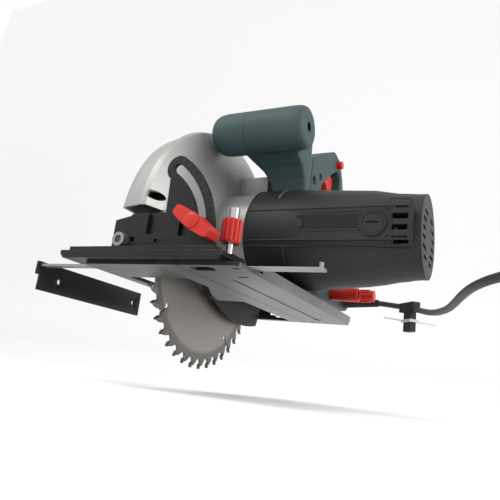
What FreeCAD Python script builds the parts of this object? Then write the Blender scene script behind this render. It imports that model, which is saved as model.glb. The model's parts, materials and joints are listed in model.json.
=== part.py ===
import FreeCAD, Part
import math
import os
import re

# Corded circular saw.  Frame: +X towards the motor, -Y the cutting direction, +Z up.
# Origin: on the cut line (blade plane), under the arbor, in the plane of the sole's underside.
# All sizes are in millimetres and degrees and live in the sheet "Sizes".

Vec = FreeCAD.Vector

SIZES = [
    # blade and arbor
    ("blade_radius", 95), ("tip_cover", 1.8), ("plate_thick", 1.8), ("kerf", 2.6), ("tooth_count", 40),
    ("tooth_depth", 7.5), ("blade_phase", 3.1), ("slot_count", 4), ("slot_hole_radius", 76), ("arbor_z", 30),
    ("arbor_radius", 10), ("flange_radius", 21), ("clamp_face", 4), ("thread_radius", 4),
    # sole
    ("sole_left", 24), ("sole_right", 110), ("sole_front", 142), ("sole_rear", 120), ("sole_thick", 3),
    ("opening_left", 14), ("opening_right", 43), ("opening_front", 98), ("opening_rear", 112),
    ("side_flange", 6), ("sheet_metal", 2.6),
    # front rail, bracket and bevel quadrant
    ("rail_left", 42), ("rail_right", 100), ("rail_front", 149), ("rail_back", 128.2), ("rail_height", 6),
    ("foot_thick", 3), ("wall_front", 131), ("wall_thick", 3), ("pivot_x", 1.5), ("pivot_z", 21),
    ("pivot_radius", 4), ("screw_head", 5.5), ("quadrant_radius", 70), ("quadrant_rim", 10),
    ("slot_width", 7), ("bolt_angle", 8), ("bevel_travel", 45), ("bolt_radius", 3), ("run_gap", 0.05),
    ("tilt_thick", 2.5), ("tilt_gap", 0.3),
    # depth hinge and depth arm
    ("hinge_y", 119.5), ("hinge_z", 38), ("hinge_pin", 2.5), ("knuckle_radius", 5.4), ("ear_left", 4),
    ("ear_right", 37), ("ear_thick", 5), ("side_gap", 0.3), ("lock_reach", 269.5), ("arm_half", 9),
    ("arm_x", 44), ("arm_thick", 3), ("depth_travel", 32),
    # guards
    ("guard_y", 7.7), ("guard_z", 38.5), ("guard_radius", 121), ("guard_wall", 2.5), ("seam_x", 8),
    ("cover_x", 14), ("cover_mouth", 42), ("guard_front", 103), ("guard_front_cut", 52), ("guard_floor", 12),
    ("lower_radius", 105), ("lower_wall", 2.2), ("lower_left", 7), ("lower_right", 10), ("lower_lead", 22.5),
    ("lever_reach", 99.3), ("lever_angle", 149), ("lever_pin", 3), ("lever_knob", 6), ("lower_travel", 112),
    # gear train
    ("gear_module", 1.25), ("gear_teeth", 39), ("pinion_teeth", 10), ("backlash", 0.4), ("gear_left", 27),
    ("gear_width", 10), ("gear_room", 1.5), ("gear_case_radius", 29.3), ("gear_case_left", 14.5),
    ("gear_case_right", 40.5), ("nose_radius", 24), ("nose_bore", 11), ("nose_left", 6.5),
    ("spindle_radius", 7.5), ("spindle_tail", 5), ("shaft_radius", 6), ("seat_motor", 14),
    ("seat_spindle", 16), ("seat_bush", 9), ("seat_end", 12), ("bearing_width", 7),
    # motor
    ("motor_radius", 44.5), ("motor_left", 55), ("motor_taper", 163), ("motor_right", 200), ("motor_end", 35.5),
    ("motor_shoulder", 95), ("panel_face", 42.5), ("panel_half", 13.4), ("brush_face", 43.5),
    ("motor_wall", 2.5), ("cap_thick", 5), ("brush_x", 169), ("brush_cap_radius", 8), ("stator_left", 92),
    ("stator_length", 50), ("stator_bore", 27), ("air_gap", 1), ("commutator_radius", 14),
    ("winding_length", 8), ("fan_radius", 38), ("vent_pitch", 9), ("vent_height", 4.6),
    ("badge_length", 52), ("badge_height", 12), ("badge_left", 105), ("badge_z", 62.5), ("badge_depth", 1.1),
    # grips
    ("grip_y", 48), ("grip_z", 147), ("grip_radius", 19.5), ("grip_left", 19), ("grip_right", 110),
    ("grip_split", 56), ("neck_left", 66), ("neck_right", 98), ("handle_left", 60), ("handle_right", 88),
    ("handle_split", 74), ("handle_front", 25), ("chamber_half", 8), ("trigger_half", 6.7), ("pivot_pin", 1.1),
    ("button_y", 100), ("button_z", 177.5), ("button_radius", 4.5), ("screw_radius", 2.9),
    # rear controls and cord
    ("port_y", 113), ("port_z", 32), ("port_radius", 7.2), ("port_wall", 1.6), ("port_length", 31),
    ("relief_y", 165), ("relief_z", 33), ("relief_length", 40), ("relief_start", 7), ("relief_end", 4),
    ("lock_hub", 7.5), ("cord_dia", 6), ("coil_turn", 33), ("plug_x", 361), ("plug_z", 13.7),
    # fence
    ("bar_left", 96), ("bar_right", 160), ("bar_front", 120), ("bar_width", 7), ("bar_thick", 2),
    ("bar_lift", 0.1), ("bar_gap", 0.2), ("shoe_front", 118), ("shoe_length", 137), ("shoe_height", 24),
    ("shoe_top", 7), ("shoe_thick", 3), ("clamp_x", 85.5), ("clamp_y", 114), ("clamp_screw", 3),
    ("clamp_knob", 7.6), ("clamp_cap", 4.2),
]

doc = FreeCAD.newDocument("CircularSaw")
sheet = doc.addObject("Spreadsheet::Sheet", "Sizes")
for row, (alias, value) in enumerate(SIZES, start=1):
    sheet.set("A%d" % row, alias)
    sheet.set("B%d" % row, str(value))
    sheet.setAlias("B%d" % row, alias)
doc.recompute()
NAMES = {alias for alias, value in SIZES}
NODES = []


class Values:
    """The sheet's numbers, for the shapes that are drawn point by point."""

    def __init__(self):
        for name in NAMES:
            setattr(self, name, float(sheet.get(name)))


S = Values()


def linked(text):
    """Turn size names in an expression into references to the sheet."""
    return re.sub(r"[a-z][a-z_]*[a-z]", lambda m: "Sizes." + m.group(0) if m.group(0) in NAMES
                  else m.group(0), str(text))


def bind(obj, prop, text):
    obj.setExpression(prop, linked(text))


def place(obj, x, y, z):
    bind(obj, "Placement.Base.x", x)
    bind(obj, "Placement.Base.y", y)
    bind(obj, "Placement.Base.z", z)


def node(obj, label):
    obj.Label = label
    NODES.append(obj)
    return obj


def box(name, x, y, z):
    """A box between pairs of expressions along each axis."""
    obj = doc.addObject("Part::Box", name)
    bind(obj, "Length", "(%s) - (%s)" % (x[1], x[0]))
    bind(obj, "Width", "(%s) - (%s)" % (y[1], y[0]))
    bind(obj, "Height", "(%s) - (%s)" % (z[1], z[0]))
    place(obj, x[0], y[0], z[0])
    return obj


TURN = {"X": FreeCAD.Rotation(Vec(0, 1, 0), 90), "Y": FreeCAD.Rotation(Vec(1, 0, 0), -90),
        "Z": FreeCAD.Rotation()}


def rod(name, axis, start, radius, length):
    """A cylinder that starts at start and runs along +axis."""
    obj = doc.addObject("Part::Cylinder", name)
    obj.Placement = FreeCAD.Placement(Vec(), TURN[axis])
    bind(obj, "Radius", radius)
    bind(obj, "Height", length)
    place(obj, *start)
    return obj


def cone(name, axis, start, first, last, length):
    obj = doc.addObject("Part::Cone", name)
    obj.Placement = FreeCAD.Placement(Vec(), TURN[axis])
    bind(obj, "Radius1", first)
    bind(obj, "Radius2", last)
    bind(obj, "Height", length)
    place(obj, *start)
    return obj


def cut(name, base, *tools):
    for index, tool in enumerate(tools):
        obj = doc.addObject("Part::Cut", "%s_%d" % (name, index))
        obj.Base = base
        obj.Tool = tool
        base = obj
    return base


def join(name, *shapes):
    obj = doc.addObject("Part::MultiFuse", name)
    obj.Shapes = list(shapes)
    obj.Refine = True
    return obj


def shown(name, shape):
    obj = doc.addObject("Part::Feature", name)
    obj.Shape = shape
    return obj


def origin_plane(body, role):
    return next(item for item in body.Origin.OriginFeatures if item.Role == role)


def sketch_on(body, name, role, offset="0", lift="0"):
    """A sketch on one of the body's origin planes, offset along its normal and lifted along its v axis."""
    sketch = body.newObject("Sketcher::SketchObject", name)
    sketch.AttachmentSupport = [(origin_plane(body, role), "")]
    sketch.MapMode = "FlatFace"
    bind(sketch, "AttachmentOffset.Base.z", offset)
    bind(sketch, "AttachmentOffset.Base.y", lift)
    return sketch


def rounded(points, radius):
    """Edges of a closed outline through points, each corner rounded by radius as far as its sides allow."""
    count = len(points)
    corners = []
    for index, point in enumerate(points):
        here = Vec(point[0], point[1], 0)
        before = Vec(points[index - 1][0], points[index - 1][1], 0) - here
        after = Vec(points[(index + 1) % count][0], points[(index + 1) % count][1], 0) - here
        half = before.getAngle(after) / 2
        reach = min(radius / math.tan(half), 0.45 * before.Length, 0.45 * after.Length)
        before.normalize()
        after.normalize()
        first = here + before * reach
        last = here + after * reach
        fillet = reach * math.tan(half)
        inward = (before + after).normalize()
        middle = here + inward * (fillet / math.sin(half) - fillet)
        corners.append((first, middle, last))
    edges = []
    for index, (first, middle, last) in enumerate(corners):
        edges.append(Part.Arc(first, middle, last))
        following = corners[(index + 1) % count][0]
        if (following - last).Length > 1e-6:
            edges.append(Part.LineSegment(last, following))
    return edges


def straight(points):
    vectors = [Vec(u, v, 0) for u, v in points]
    return [Part.LineSegment(a, b) for a, b in zip(vectors, vectors[1:] + vectors[:1])]


def pad(body, sketch, length, name):
    feature = body.newObject("PartDesign::Pad", name)
    feature.Profile = sketch
    bind(feature, "Length", length)
    return feature


def pocket(body, sketch, name):
    """A cut through the whole body, both ways from its sketch."""
    feature = body.newObject("PartDesign::Pocket", name)
    feature.Profile = sketch
    feature.Type = "ThroughAll"
    feature.Midplane = True
    return feature


def turned(body, sketch, name):
    feature = body.newObject("PartDesign::Revolution", name)
    feature.Profile = sketch
    feature.ReferenceAxis = (sketch, ["H_Axis"])
    feature.Angle = 360
    return feature


def plate_yz(name, edges, x_low, x_high):
    """A prism along X over a closed outline in the YZ plane."""
    body = doc.addObject("PartDesign::Body", name)
    sketch = sketch_on(body, name + "Outline", "YZ_Plane", x_low)
    for edge in edges:
        sketch.addGeometry(edge, False)
    pad(body, sketch, "(%s) - (%s)" % (x_high, x_low), name + "Pad")
    return body


def plate_xz(name, edges, y_front, y_back, holes=()):
    """A prism along Y over a closed outline in the XZ plane, with through cuts."""
    body = doc.addObject("PartDesign::Body", name)
    sketch = sketch_on(body, name + "Outline", "XZ_Plane", "-(%s)" % y_back)
    for edge in edges:
        sketch.addGeometry(edge, False)
    pad(body, sketch, "(%s) - (%s)" % (y_back, y_front), name + "Pad")
    for index, edges in enumerate(holes):
        window = sketch_on(body, "%sHole%d" % (name, index), "XZ_Plane", "-((%s) + (%s)) / 2" % (y_front, y_back))
        for edge in edges:
            window.addGeometry(edge, False)
        pocket(body, window, "%sPocket%d" % (name, index))
    return body


def polar(centre, radius, degrees):
    angle = math.radians(degrees)
    return (centre[0] + radius * math.cos(angle), centre[1] + radius * math.sin(angle))


def circle(centre, radius):
    return [Part.Circle(Vec(centre[0], centre[1], 0), Vec(0, 0, 1), radius)]


def arc_slot(centre, radius, half_width, start, end):
    """The outline of a slot that follows an arc about centre."""
    def point(reach, degrees):
        u, v = polar(centre, reach, degrees)
        return Vec(u, v, 0)

    middle = (start + end) / 2
    inner = radius - half_width
    outer = radius + half_width
    step = math.degrees(half_width / radius)
    first_tip = point(radius, start - step)
    last_tip = point(radius, end + step)
    return [Part.Arc(point(outer, start), point(outer, middle), point(outer, end)),
            Part.Arc(point(outer, end), last_tip, point(inner, end)),
            Part.Arc(point(inner, end), point(inner, middle), point(inner, start)),
            Part.Arc(point(inner, start), first_tip, point(outer, start))]


MOTOR_Z = "arbor_z + gear_module * (gear_teeth + pinion_teeth) / 2"
motor_z = S.arbor_z + S.gear_module * (S.gear_teeth + S.pinion_teeth) / 2
BOLT_X = "pivot_x + quadrant_radius * cos(bolt_angle)"
BOLT_Z = "pivot_z + quadrant_radius * sin(bolt_angle)"
pivot = (S.pivot_x, S.pivot_z)
hinge = (-S.hinge_y, S.hinge_z)
arbor = (0, S.arbor_z)
SCREWS = [("Neck", "neck_right", "-20", "134"), ("HandleA", "handle_right", "33", "132"),
          ("HandleB", "handle_right", "50", "143"), ("HandleC", "handle_right", "160", "62")]
rail_top = "sole_thick + rail_height"
foot_top = "sole_thick + rail_height + foot_thick"


# ---------------------------------------------------------------- base

def base_plate():
    body = doc.addObject("PartDesign::Body", "SolePlate")
    outline = sketch_on(body, "SoleOutline", "XY_Plane")
    corners = [(-S.sole_left, -S.sole_front), (S.sole_right, -S.sole_front), (S.sole_right, S.sole_rear),
               (-S.sole_left, S.sole_rear)]
    for edge in rounded(corners, 6):
        outline.addGeometry(edge, False)
    pad(body, outline, "sole_thick", "SolePad")
    openings = {
        "Blade": [(-S.opening_left, -S.opening_front), (S.opening_right, -S.opening_front),
                  (S.opening_right, S.opening_rear), (-S.opening_left, S.opening_rear)],
        "Window": [(68, -137), (86, -137), (86, -126), (68, -126)],
        "FrontSlot": [(92, -108.5), (100, -108.5), (100, -105.5), (92, -105.5)],
        "CornerSlot": [(101, -134.5), (107, -134.5), (107, -131.5), (101, -131.5)],
        "RearSlot": [(67, 111.5), (73, 111.5), (73, 114.5), (67, 114.5)],
        "SideSlot": [(80, 89.5), (88, 89.5), (88, 92.5), (80, 92.5)],
    }
    for name, points in openings.items():
        sketch = sketch_on(body, "Sole" + name, "XY_Plane")
        for edge in rounded(points, 1.4 if "Slot" in name else 3):
            sketch.addGeometry(edge, False)
        pocket(body, sketch, "Sole%sCut" % name)
    flange = box("SoleFlange", ("sole_right - sheet_metal", "sole_right"),
                 ("-(sole_front - 38)", "sole_rear - 2"), ("sole_thick", "sole_thick + side_flange"))
    groove = box("SoleGroove", ("sole_right - 28.5", "sole_right - 25.5"),
                 ("-(opening_front - 1)", "opening_rear - 16"), ("-1", "0.8"))
    plate = cut("SoleGrooved", body, groove)
    node(join("BasePlate", plate, flange), "base_plate")


def front_rail():
    rail = box("Rail", ("-rail_left", "rail_right"), ("-rail_front", "-rail_back"), ("sole_thick", rail_top))
    chamfer = doc.addObject("Part::Chamfer", "RailChamfer")
    chamfer.Base = rail
    doc.recompute()
    ends = [(i, 3.0, 3.0) for i, e in enumerate(rail.Shape.Edges, 1)
            if abs(e.BoundBox.ZMin - e.BoundBox.ZMax) < 0.01 and e.BoundBox.XLength < 0.01
            and e.BoundBox.ZMax < S.sole_thick + 1]
    chamfer.Edges = ends
    node(chamfer, "front_rail")


def front_bracket():
    """Pressed bracket: foot, front wall with the bevel pivot hole, and the quadrant with its arc slot."""
    foot = S.sole_thick + S.rail_height
    inner = S.quadrant_radius - S.quadrant_rim
    outer = S.quadrant_radius + S.quadrant_rim
    first = S.bolt_angle - 1.5
    last = S.bolt_angle + S.bevel_travel + 1.5

    def at(radius, degrees):
        return Vec(*polar(pivot, radius, degrees), 0)

    cap_middle = at(S.quadrant_radius, last) + Vec(*polar((0, 0), S.quadrant_rim, last + 90), 0)
    rim_start = at(outer, 3)
    corners = [at(inner, last), Vec(38, 26, 0), Vec(22, 26, 0), Vec(22, 43, 0), Vec(14, 43, 0), Vec(-9, 38, 0),
               Vec(-9, foot, 0), Vec(rim_start.x + 4, foot, 0), rim_start]
    edges = [Part.Arc(rim_start, at(outer, last / 2), at(outer, last)),
             Part.Arc(at(outer, last), cap_middle, at(inner, last))]
    edges += [Part.LineSegment(a, b) for a, b in zip(corners, corners[1:])]
    window = [(51, 24), (62, 24), (62, 32), (55, 38), (51, 38)]
    holes = [circle(pivot, S.pivot_radius),
             arc_slot(pivot, S.quadrant_radius, S.slot_width / 2, first, last),
             rounded(window, 2), circle((32, 21), 1.4), circle((10, 22), 2.2)]
    wall = plate_xz("BracketWall", edges, "-wall_front", "wall_thick - wall_front", holes)
    base = box("BracketFoot", ("8 - rail_left", "rail_right - 6"), ("1 - rail_front", "-rail_back"),
               (rail_top, foot_top))
    node(join("FrontBracket", wall, base), "front_bracket")


def pivot_screws():
    """Socket head screws that the tilting frame turns on, front and rear."""
    front_head = rod("FrontScrewHead", "Y", ("pivot_x", "-wall_front - 6", "pivot_z"), "5.5", "6")
    socket = rod("FrontScrewSocket", "Y", ("pivot_x", "-wall_front - 6.5", "pivot_z"), "2.9", "4")
    shank = rod("FrontScrewShank", "Y", ("pivot_x", "-wall_front", "pivot_z"), "pivot_radius", "13")
    rear_head = rod("RearScrewHead", "Y", ("pivot_x", "sole_rear", "pivot_z"), "5.5", "5")
    rear_shank = rod("RearScrewShank", "Y", ("pivot_x", "sole_rear - 7", "pivot_z"), "pivot_radius", "7")
    front = cut("FrontScrew", join("FrontScrewSolid", front_head, shank), socket)
    rear = join("RearScrew", rear_head, rear_shank)
    pair = doc.addObject("Part::Compound", "PivotScrews")
    pair.Links = [front, rear]
    node(pair, "pivot_screws")


def rear_bracket():
    foot = box("RearFoot", ("-12", "24"), ("opening_rear + 1", "sole_rear"), ("sole_thick", "sole_thick + 2.5"))
    wall = box("RearWall", ("-10", "16"), ("sole_rear - 2.5", "sole_rear"), ("sole_thick", "pivot_z + 12"))
    hole = rod("RearHole", "Y", ("pivot_x", "sole_rear - 10", "pivot_z"), "pivot_radius", "20")
    node(cut("RearBracket", join("RearBracketSolid", foot, wall), hole), "rear_bracket")


def fence_clamp():
    """Bridge that guides the fence bar, and its clamping screw and ribbed knob."""
    bridge = box("Bridge", ("clamp_x - 9", "clamp_x + 9"), ("-clamp_y - 9.5", "9.5 - clamp_y"),
                 ("sole_thick", "sole_thick + 10"))
    tunnel = box("BridgeTunnel", ("clamp_x - 12", "clamp_x + 12"),
                 ("-bar_front - bar_gap", "bar_width + bar_gap - bar_front"),
                 ("sole_thick", "sole_thick + bar_lift + bar_thick + bar_gap"))
    hole = rod("BridgeHole", "Z", ("clamp_x", "-clamp_y", "sole_thick"), "clamp_screw + run_gap", "14")
    node(cut("FenceBridge", bridge, tunnel, hole), "fence_clamp_bridge")
    screw_foot = "sole_thick + bar_lift + bar_thick + 0.3"
    shank = rod("ClampShank", "Z", ("clamp_x", "-clamp_y", screw_foot), "clamp_screw", "38")
    top = rod("ClampTop", "Z", ("clamp_x", "-clamp_y", "41"), "clamp_cap", "8.5")
    node(join("FenceClampScrew", shank, top), "fence_clamp_screw")
    core = rod("ClampKnobCore", "Z", ("clamp_x", "-clamp_y", "23"), "clamp_knob - 1.2", "18")
    ribs = []
    for index in range(12):
        rib = doc.addObject("Part::Cylinder", "ClampRib%d" % index)
        rib.Radius = 1.2
        rib.Height = 16
        bind(rib, "Placement.Base.x", "clamp_x + (clamp_knob - 1.2) * cos(%d)" % (30 * index))
        bind(rib, "Placement.Base.y", "(clamp_knob - 1.2) * sin(%d) - clamp_y" % (30 * index))
        bind(rib, "Placement.Base.z", "24")
        ribs.append(rib)
    bore = rod("ClampKnobBore", "Z", ("clamp_x", "-clamp_y", "10"), "clamp_screw", "50")
    counter = rod("ClampKnobCounter", "Z", ("clamp_x", "-clamp_y", "41"), "clamp_cap", "10")
    node(cut("FenceClampKnob", join("ClampKnobSolid", core, *ribs), bore, counter), "fence_clamp_knob")


def fence():
    bar_z = ("sole_thick + bar_lift", "sole_thick + bar_lift + bar_thick")
    bar = box("Bar", ("shoe_thick - bar_left", "bar_right"), ("-bar_front", "bar_width - bar_front"), bar_z)
    pin_hole = rod("BarPinHole", "Z", ("bar_right - 3", "4 - bar_front", "0"), "1.5", "12")
    node(cut("FenceBar", bar, pin_hole), "fence_bar")
    pin = rod("BarPin", "Z", ("bar_right - 3", "4 - bar_front", "sole_thick + bar_lift"), "1.5", "6")
    node(pin, "fence_stop_pin")
    shoe = box("Shoe", ("-bar_left", "shoe_thick - bar_left"), ("-shoe_front", "shoe_length - shoe_front"),
               ("shoe_top - shoe_height", "shoe_top"))
    hook = box("ShoeHook", ("-bar_left", "shoe_thick - bar_left"), ("-bar_front - 2", "-shoe_front"),
               ("-4", "shoe_top"))
    front_hole = rod("ShoeFrontHole", "X", ("-bar_left - 5", "22 - shoe_front", "-6"), "2.6", "15")
    rear_hole = rod("ShoeRearHole", "X", ("-bar_left - 5", "shoe_length - 11 - shoe_front", "-5"), "2.6", "15")
    node(cut("FenceShoe", join("ShoeSolid", shoe, hook), front_hole, rear_hole), "fence_shoe")


# ---------------------------------------------------------------- tilting frame

def tilt_bracket():
    """Plate behind the front wall, with the ears of the depth hinge."""
    bolt = polar(pivot, S.quadrant_radius, S.bolt_angle)
    outline = [(-6, 12), (40, 14), (bolt[0] + 7, bolt[1] - 7), (bolt[0] + 7, bolt[1] + 9), (40, 34), (37, 44),
               (4, 44), (-6, 34)]
    holes = [circle(pivot, S.pivot_radius + S.run_gap), circle(bolt, S.bolt_radius)]
    front = "wall_thick + tilt_gap - wall_front"
    back = front + " + tilt_thick"
    plate = plate_xz("TiltPlate", rounded(outline, 2), front, back, holes)
    ears = []
    for name, left in (("Left", "ear_left"), ("Right", "ear_right - ear_thick")):
        ears.append(box("Ear" + name, (left, left + " + ear_thick"), (back, "knuckle_radius - hinge_y"),
                        ("hinge_z - knuckle_radius", "hinge_z + knuckle_radius")))
    hole = rod("EarHole", "X", ("0", "-hinge_y", "hinge_z"), "hinge_pin", "45")
    node(cut("TiltBracket", join("TiltSolid", plate, *ears), hole), "tilt_bracket")
    head = rod("BevelHead", "Y", (BOLT_X, back, BOLT_Z), "screw_head", "3")
    shank = rod("BevelShank", "Y", (BOLT_X, "-wall_front - 16", BOLT_Z), "bolt_radius",
                "16 + wall_thick + tilt_gap + tilt_thick")
    node(join("BevelBolt", head, shank), "bevel_bolt")
    node(rod("HingePin", "X", ("ear_left - 3", "-hinge_y", "hinge_z"), "hinge_pin", "ear_right - ear_left + 6"),
         "depth_hinge_pin")


def depth_arm():
    """Rear plate on the rear pivot, and the arm whose slot is centred on the depth hinge."""
    inner = S.lock_reach - S.arm_half
    outer = S.lock_reach + S.arm_half
    low = S.pivot_z - 7
    top = S.depth_travel + 2

    def at(radius, degrees):
        return Vec(*polar(hinge, radius, degrees), 0)

    plate_y = S.sole_rear - 5.5
    corners = [at(outer, -3), Vec(at(outer, -3).x, low, 0), Vec(plate_y, low, 0), Vec(plate_y, S.pivot_z + 11, 0),
               Vec(at(inner, 0).x, S.pivot_z + 11, 0), at(inner, 1)]
    edges = [Part.LineSegment(a, b) for a, b in zip(corners, corners[1:])]
    edges += [Part.Arc(at(inner, 1), at(inner, top / 2), at(inner, top)),
              Part.Arc(at(inner, top), at(S.lock_reach, top + 1.9), at(outer, top)),
              Part.Arc(at(outer, top), at(outer, top / 2), at(outer, -3))]
    arm = doc.addObject("PartDesign::Body", "ArmPlate")
    outline = sketch_on(arm, "ArmOutline", "YZ_Plane", "arm_x")
    for edge in edges:
        outline.addGeometry(edge, False)
    pad(arm, outline, "arm_thick", "ArmPad")
    slot = sketch_on(arm, "ArmSlot", "YZ_Plane", "arm_x + arm_thick / 2")
    for edge in arc_slot(hinge, S.lock_reach, S.slot_width / 2, -0.6, S.depth_travel + 0.6):
        slot.addGeometry(edge, False)
    pocket(arm, slot, "ArmSlotCut")
    plate = box("RearPlate", ("-6", "arm_x + arm_thick"), ("sole_rear - 5.5", "sole_rear - 3"),
                ("pivot_z - 9", "pivot_z + 11"))
    hole = rod("RearPlateHole", "Y", ("pivot_x", "sole_rear - 12", "pivot_z"), "pivot_radius + run_gap", "14")
    node(join("DepthArm", arm, cut("RearPlateBored", plate, hole)), "depth_arm")


def bevel_knob():
    """Long knob with tapered ends, lying askew on the bevel bolt."""
    half = 17.8
    points = [(-half, -3), (4 - half, -4.5), (0, -6), (half - 4, -4.5), (half, -3), (half, 3),
              (half - 4, 4.5), (0, 6), (4 - half, 4.5), (-half, 3)]
    lean = math.radians(-33)
    centre = polar(pivot, S.quadrant_radius, S.bolt_angle)
    outline = [(centre[0] + u * math.cos(lean) - v * math.sin(lean),
                centre[1] + u * math.sin(lean) + v * math.cos(lean)) for u, v in points]
    body = plate_xz("BevelKnobBody", rounded(outline, 1.2), "-wall_front - 15", "-wall_front - tilt_gap",
                    [circle(centre, S.bolt_radius + S.run_gap)])
    node(body, "bevel_knob")


# ---------------------------------------------------------------- guards

def ring_of_x(name, points):
    """A solid turned about the upper guard's axis from (x, radius) points."""
    body = doc.addObject("PartDesign::Body", name)
    sketch = sketch_on(body, name + "Profile", "XZ_Plane", "guard_y", "guard_z")
    for edge in straight(points):
        sketch.addGeometry(edge, False)
    turned(body, sketch, name + "Turn")
    return body


def guard_trims(name):
    """The cuts that open the upper guard below and clear the front bracket."""
    floor = box(name + "Floor", ("-60", "80"), ("-200", "200"), ("-120", "guard_floor"))
    front = box(name + "Front", ("-60", "80"), ("-200", "-guard_front"), ("-120", "guard_front_cut"))
    return floor, front


def gear_case_outer(name):
    low = rod(name + "Low", "X", ("gear_case_left", "0", "arbor_z"), "gear_case_radius",
              "gear_case_right - gear_case_left")
    high = rod(name + "High", "X", ("gear_case_left + 5.5", "0", MOTOR_Z), "motor_radius - 2.5",
               "motor_left - gear_case_left - 5.5")
    rib = box(name + "Rib", ("18", "motor_left - 3"), ("2", "20"), (MOTOR_Z, "guard_z + 87"))
    return low, high, rib


def upper_guard():
    r = S.guard_radius
    w = S.guard_wall
    seam = S.seam_x
    profile = [(seam, r), (seam + 5, r - 1.5), (seam + 11, r - 17), (seam + 15, r - 43), (seam + 18, r - 81),
               (seam + 18, r - 93), (seam + 15.4, r - 93), (seam + 15.4, r - 80.5), (seam + 12.4, r - 43.5),
               (seam + 8.5, r - 18.2), (seam + 4, r - 1.5 - w), (seam, r - w)]
    shell = ring_of_x("GuardShell", profile)
    trimmed = cut("GuardTrim", shell, *guard_trims("GuardTrimmer"))
    web_outline = [(hinge[0] + 4.4, hinge[1] - 3), (-84, 40), (-84, 72),
                   (hinge[0] - 1, hinge[1] + S.knuckle_radius - 0.1)]
    web = plate_yz("HingeWeb", straight(web_outline), "gear_case_left", "ear_right - ear_thick - side_gap")
    barrel = rod("Knuckle", "X", ("ear_left + ear_thick + side_gap", "-hinge_y", "hinge_z"), "knuckle_radius",
                 "ear_right - ear_left - 2 * ear_thick - 2 * side_gap")
    bore = rod("KnuckleBore", "X", ("0", "-hinge_y", "hinge_z"), "hinge_pin + run_gap", "60")
    solid = join("GuardSolid", trimmed, web, barrel)
    inside = rod("GuardInside", "X", ("-20", "0", "arbor_z"), "lower_radius + 1.5", "20 + seam_x + 5")
    hole = rod("FrontHole", "Y", ("seam_x + 7", "-150", "62"), "3.8", "60")
    node(cut("UpperGuard", solid, inside, bore, hole, *gear_case_outer("GuardCase")), "upper_guard")


def guard_cover():
    r = S.guard_radius
    face = -S.cover_x
    profile = [(face, 25), (face, r - 7.5), (face + 3, r - 4.5), (S.seam_x, r - 0.8), (S.seam_x, r - 2.8),
               (face + 3.5, r - 6.3), (face + 2, r - 8.5), (face + 2, 25)]
    shell = ring_of_x("CoverShell", profile)
    mouth = rod("CoverMouth", "X", ("-cover_x - 2", "0", "arbor_z"), "cover_mouth", "6")
    edges = arc_slot(arbor, S.lever_reach, S.lever_pin + 1, S.lever_angle - S.lower_travel - 1, S.lever_angle + 1)
    slot = plate_yz("CoverSlot", edges, "-cover_x - 3", "5 - cover_x")
    node(cut("GuardCover", shell, *guard_trims("CoverTrimmer"), mouth, slot), "guard_cover")


def lower_guard():
    """Sector cup on the gear case's nose, and its lifting lever."""
    first = -S.lower_lead
    middle = first + 90
    last = first + 180

    def point(radius, degrees):
        return Vec(*polar(arbor, radius, degrees), 0)

    def sector(name, inner, outer, x_low, x_high):
        edges = [Part.Arc(point(outer, first), point(outer, middle), point(outer, last)),
                 Part.LineSegment(point(outer, last), point(inner, last)),
                 Part.Arc(point(inner, last), point(inner, middle), point(inner, first)),
                 Part.LineSegment(point(inner, first), point(outer, first))]
        return plate_yz(name, edges, x_low, x_high)

    cheek = sector("LowerCheek", S.nose_radius + 2, S.lower_radius, "lower_right - 2", "lower_right")
    heel = point(S.nose_radius + 1, -115)
    end = point(S.lower_radius, first)
    sweep = [Part.Arc(heel, point(S.nose_radius + 26, -53), end),
             Part.LineSegment(end, Vec(*arbor, 0)), Part.LineSegment(Vec(*arbor, 0), heel)]
    apron = plate_yz("LowerApron", sweep, "lower_right - 2", "lower_right")
    rim = sector("LowerRim", S.lower_radius - S.lower_wall, S.lower_radius, "-lower_left", "lower_right - 1")
    hub = rod("LowerHub", "X", ("lower_right - 2", "0", "arbor_z"), "nose_radius + 5", "4.6")
    bore = rod("LowerBore", "X", ("0", "0", "arbor_z"), "nose_radius + run_gap", "30")
    node(cut("LowerGuard", join("LowerSolid", cheek, apron, rim, hub), bore), "lower_guard")
    y = "lever_reach * cos(lever_angle)"
    z = "arbor_z + lever_reach * sin(lever_angle)"
    stem = rod("LeverStem", "X", ("-cover_x - 12", y, z), "lever_pin", "cover_x + 12 + lower_right - 2")
    grip = rod("LeverGrip", "X", ("-cover_x - 22", y, z), "lever_knob", "20.5")
    node(join("GuardLever", stem, grip), "guard_lever")
    spring = doc.addObject("Part::Torus", "GuardSpring")
    spring.Placement = FreeCAD.Placement(Vec(), TURN["X"])
    bind(spring, "Radius1", "nose_radius + 1.6")
    spring.Radius2 = 0.7
    place(spring, "gear_case_left - 0.9", "0", "arbor_z")
    node(spring, "guard_spring")


# ---------------------------------------------------------------- gear train and blade

def gear_points(teeth, module, clearance, turn):
    """Outline of a spur gear with involute flanks, thinned by clearance at the pitch circle."""
    pressure = math.radians(20)
    pitch = module * teeth / 2
    base = pitch * math.cos(pressure)
    tip = pitch + 0.8 * module
    root = pitch - 1.25 * module
    involute = math.tan(pressure) - pressure
    half = math.pi / (2 * teeth) - clearance / (2 * pitch)
    flank = []
    low = max(base, root + 0.2)
    for step in range(5):
        radius = low + (tip - low) * step / 4
        slope = math.acos(min(1.0, base / radius))
        flank.append((radius, half + involute - (math.tan(slope) - slope)))
    points = []
    for tooth in range(teeth):
        middle = 2 * math.pi * tooth / teeth + turn
        points.append((root, middle - flank[0][1]))
        points += [(radius, middle - angle) for radius, angle in flank]
        points += [(radius, middle + angle) for radius, angle in reversed(flank)]
        points.append((root, middle + flank[0][1]))
    return [(radius * math.cos(angle), radius * math.sin(angle)) for radius, angle in points]


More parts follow.
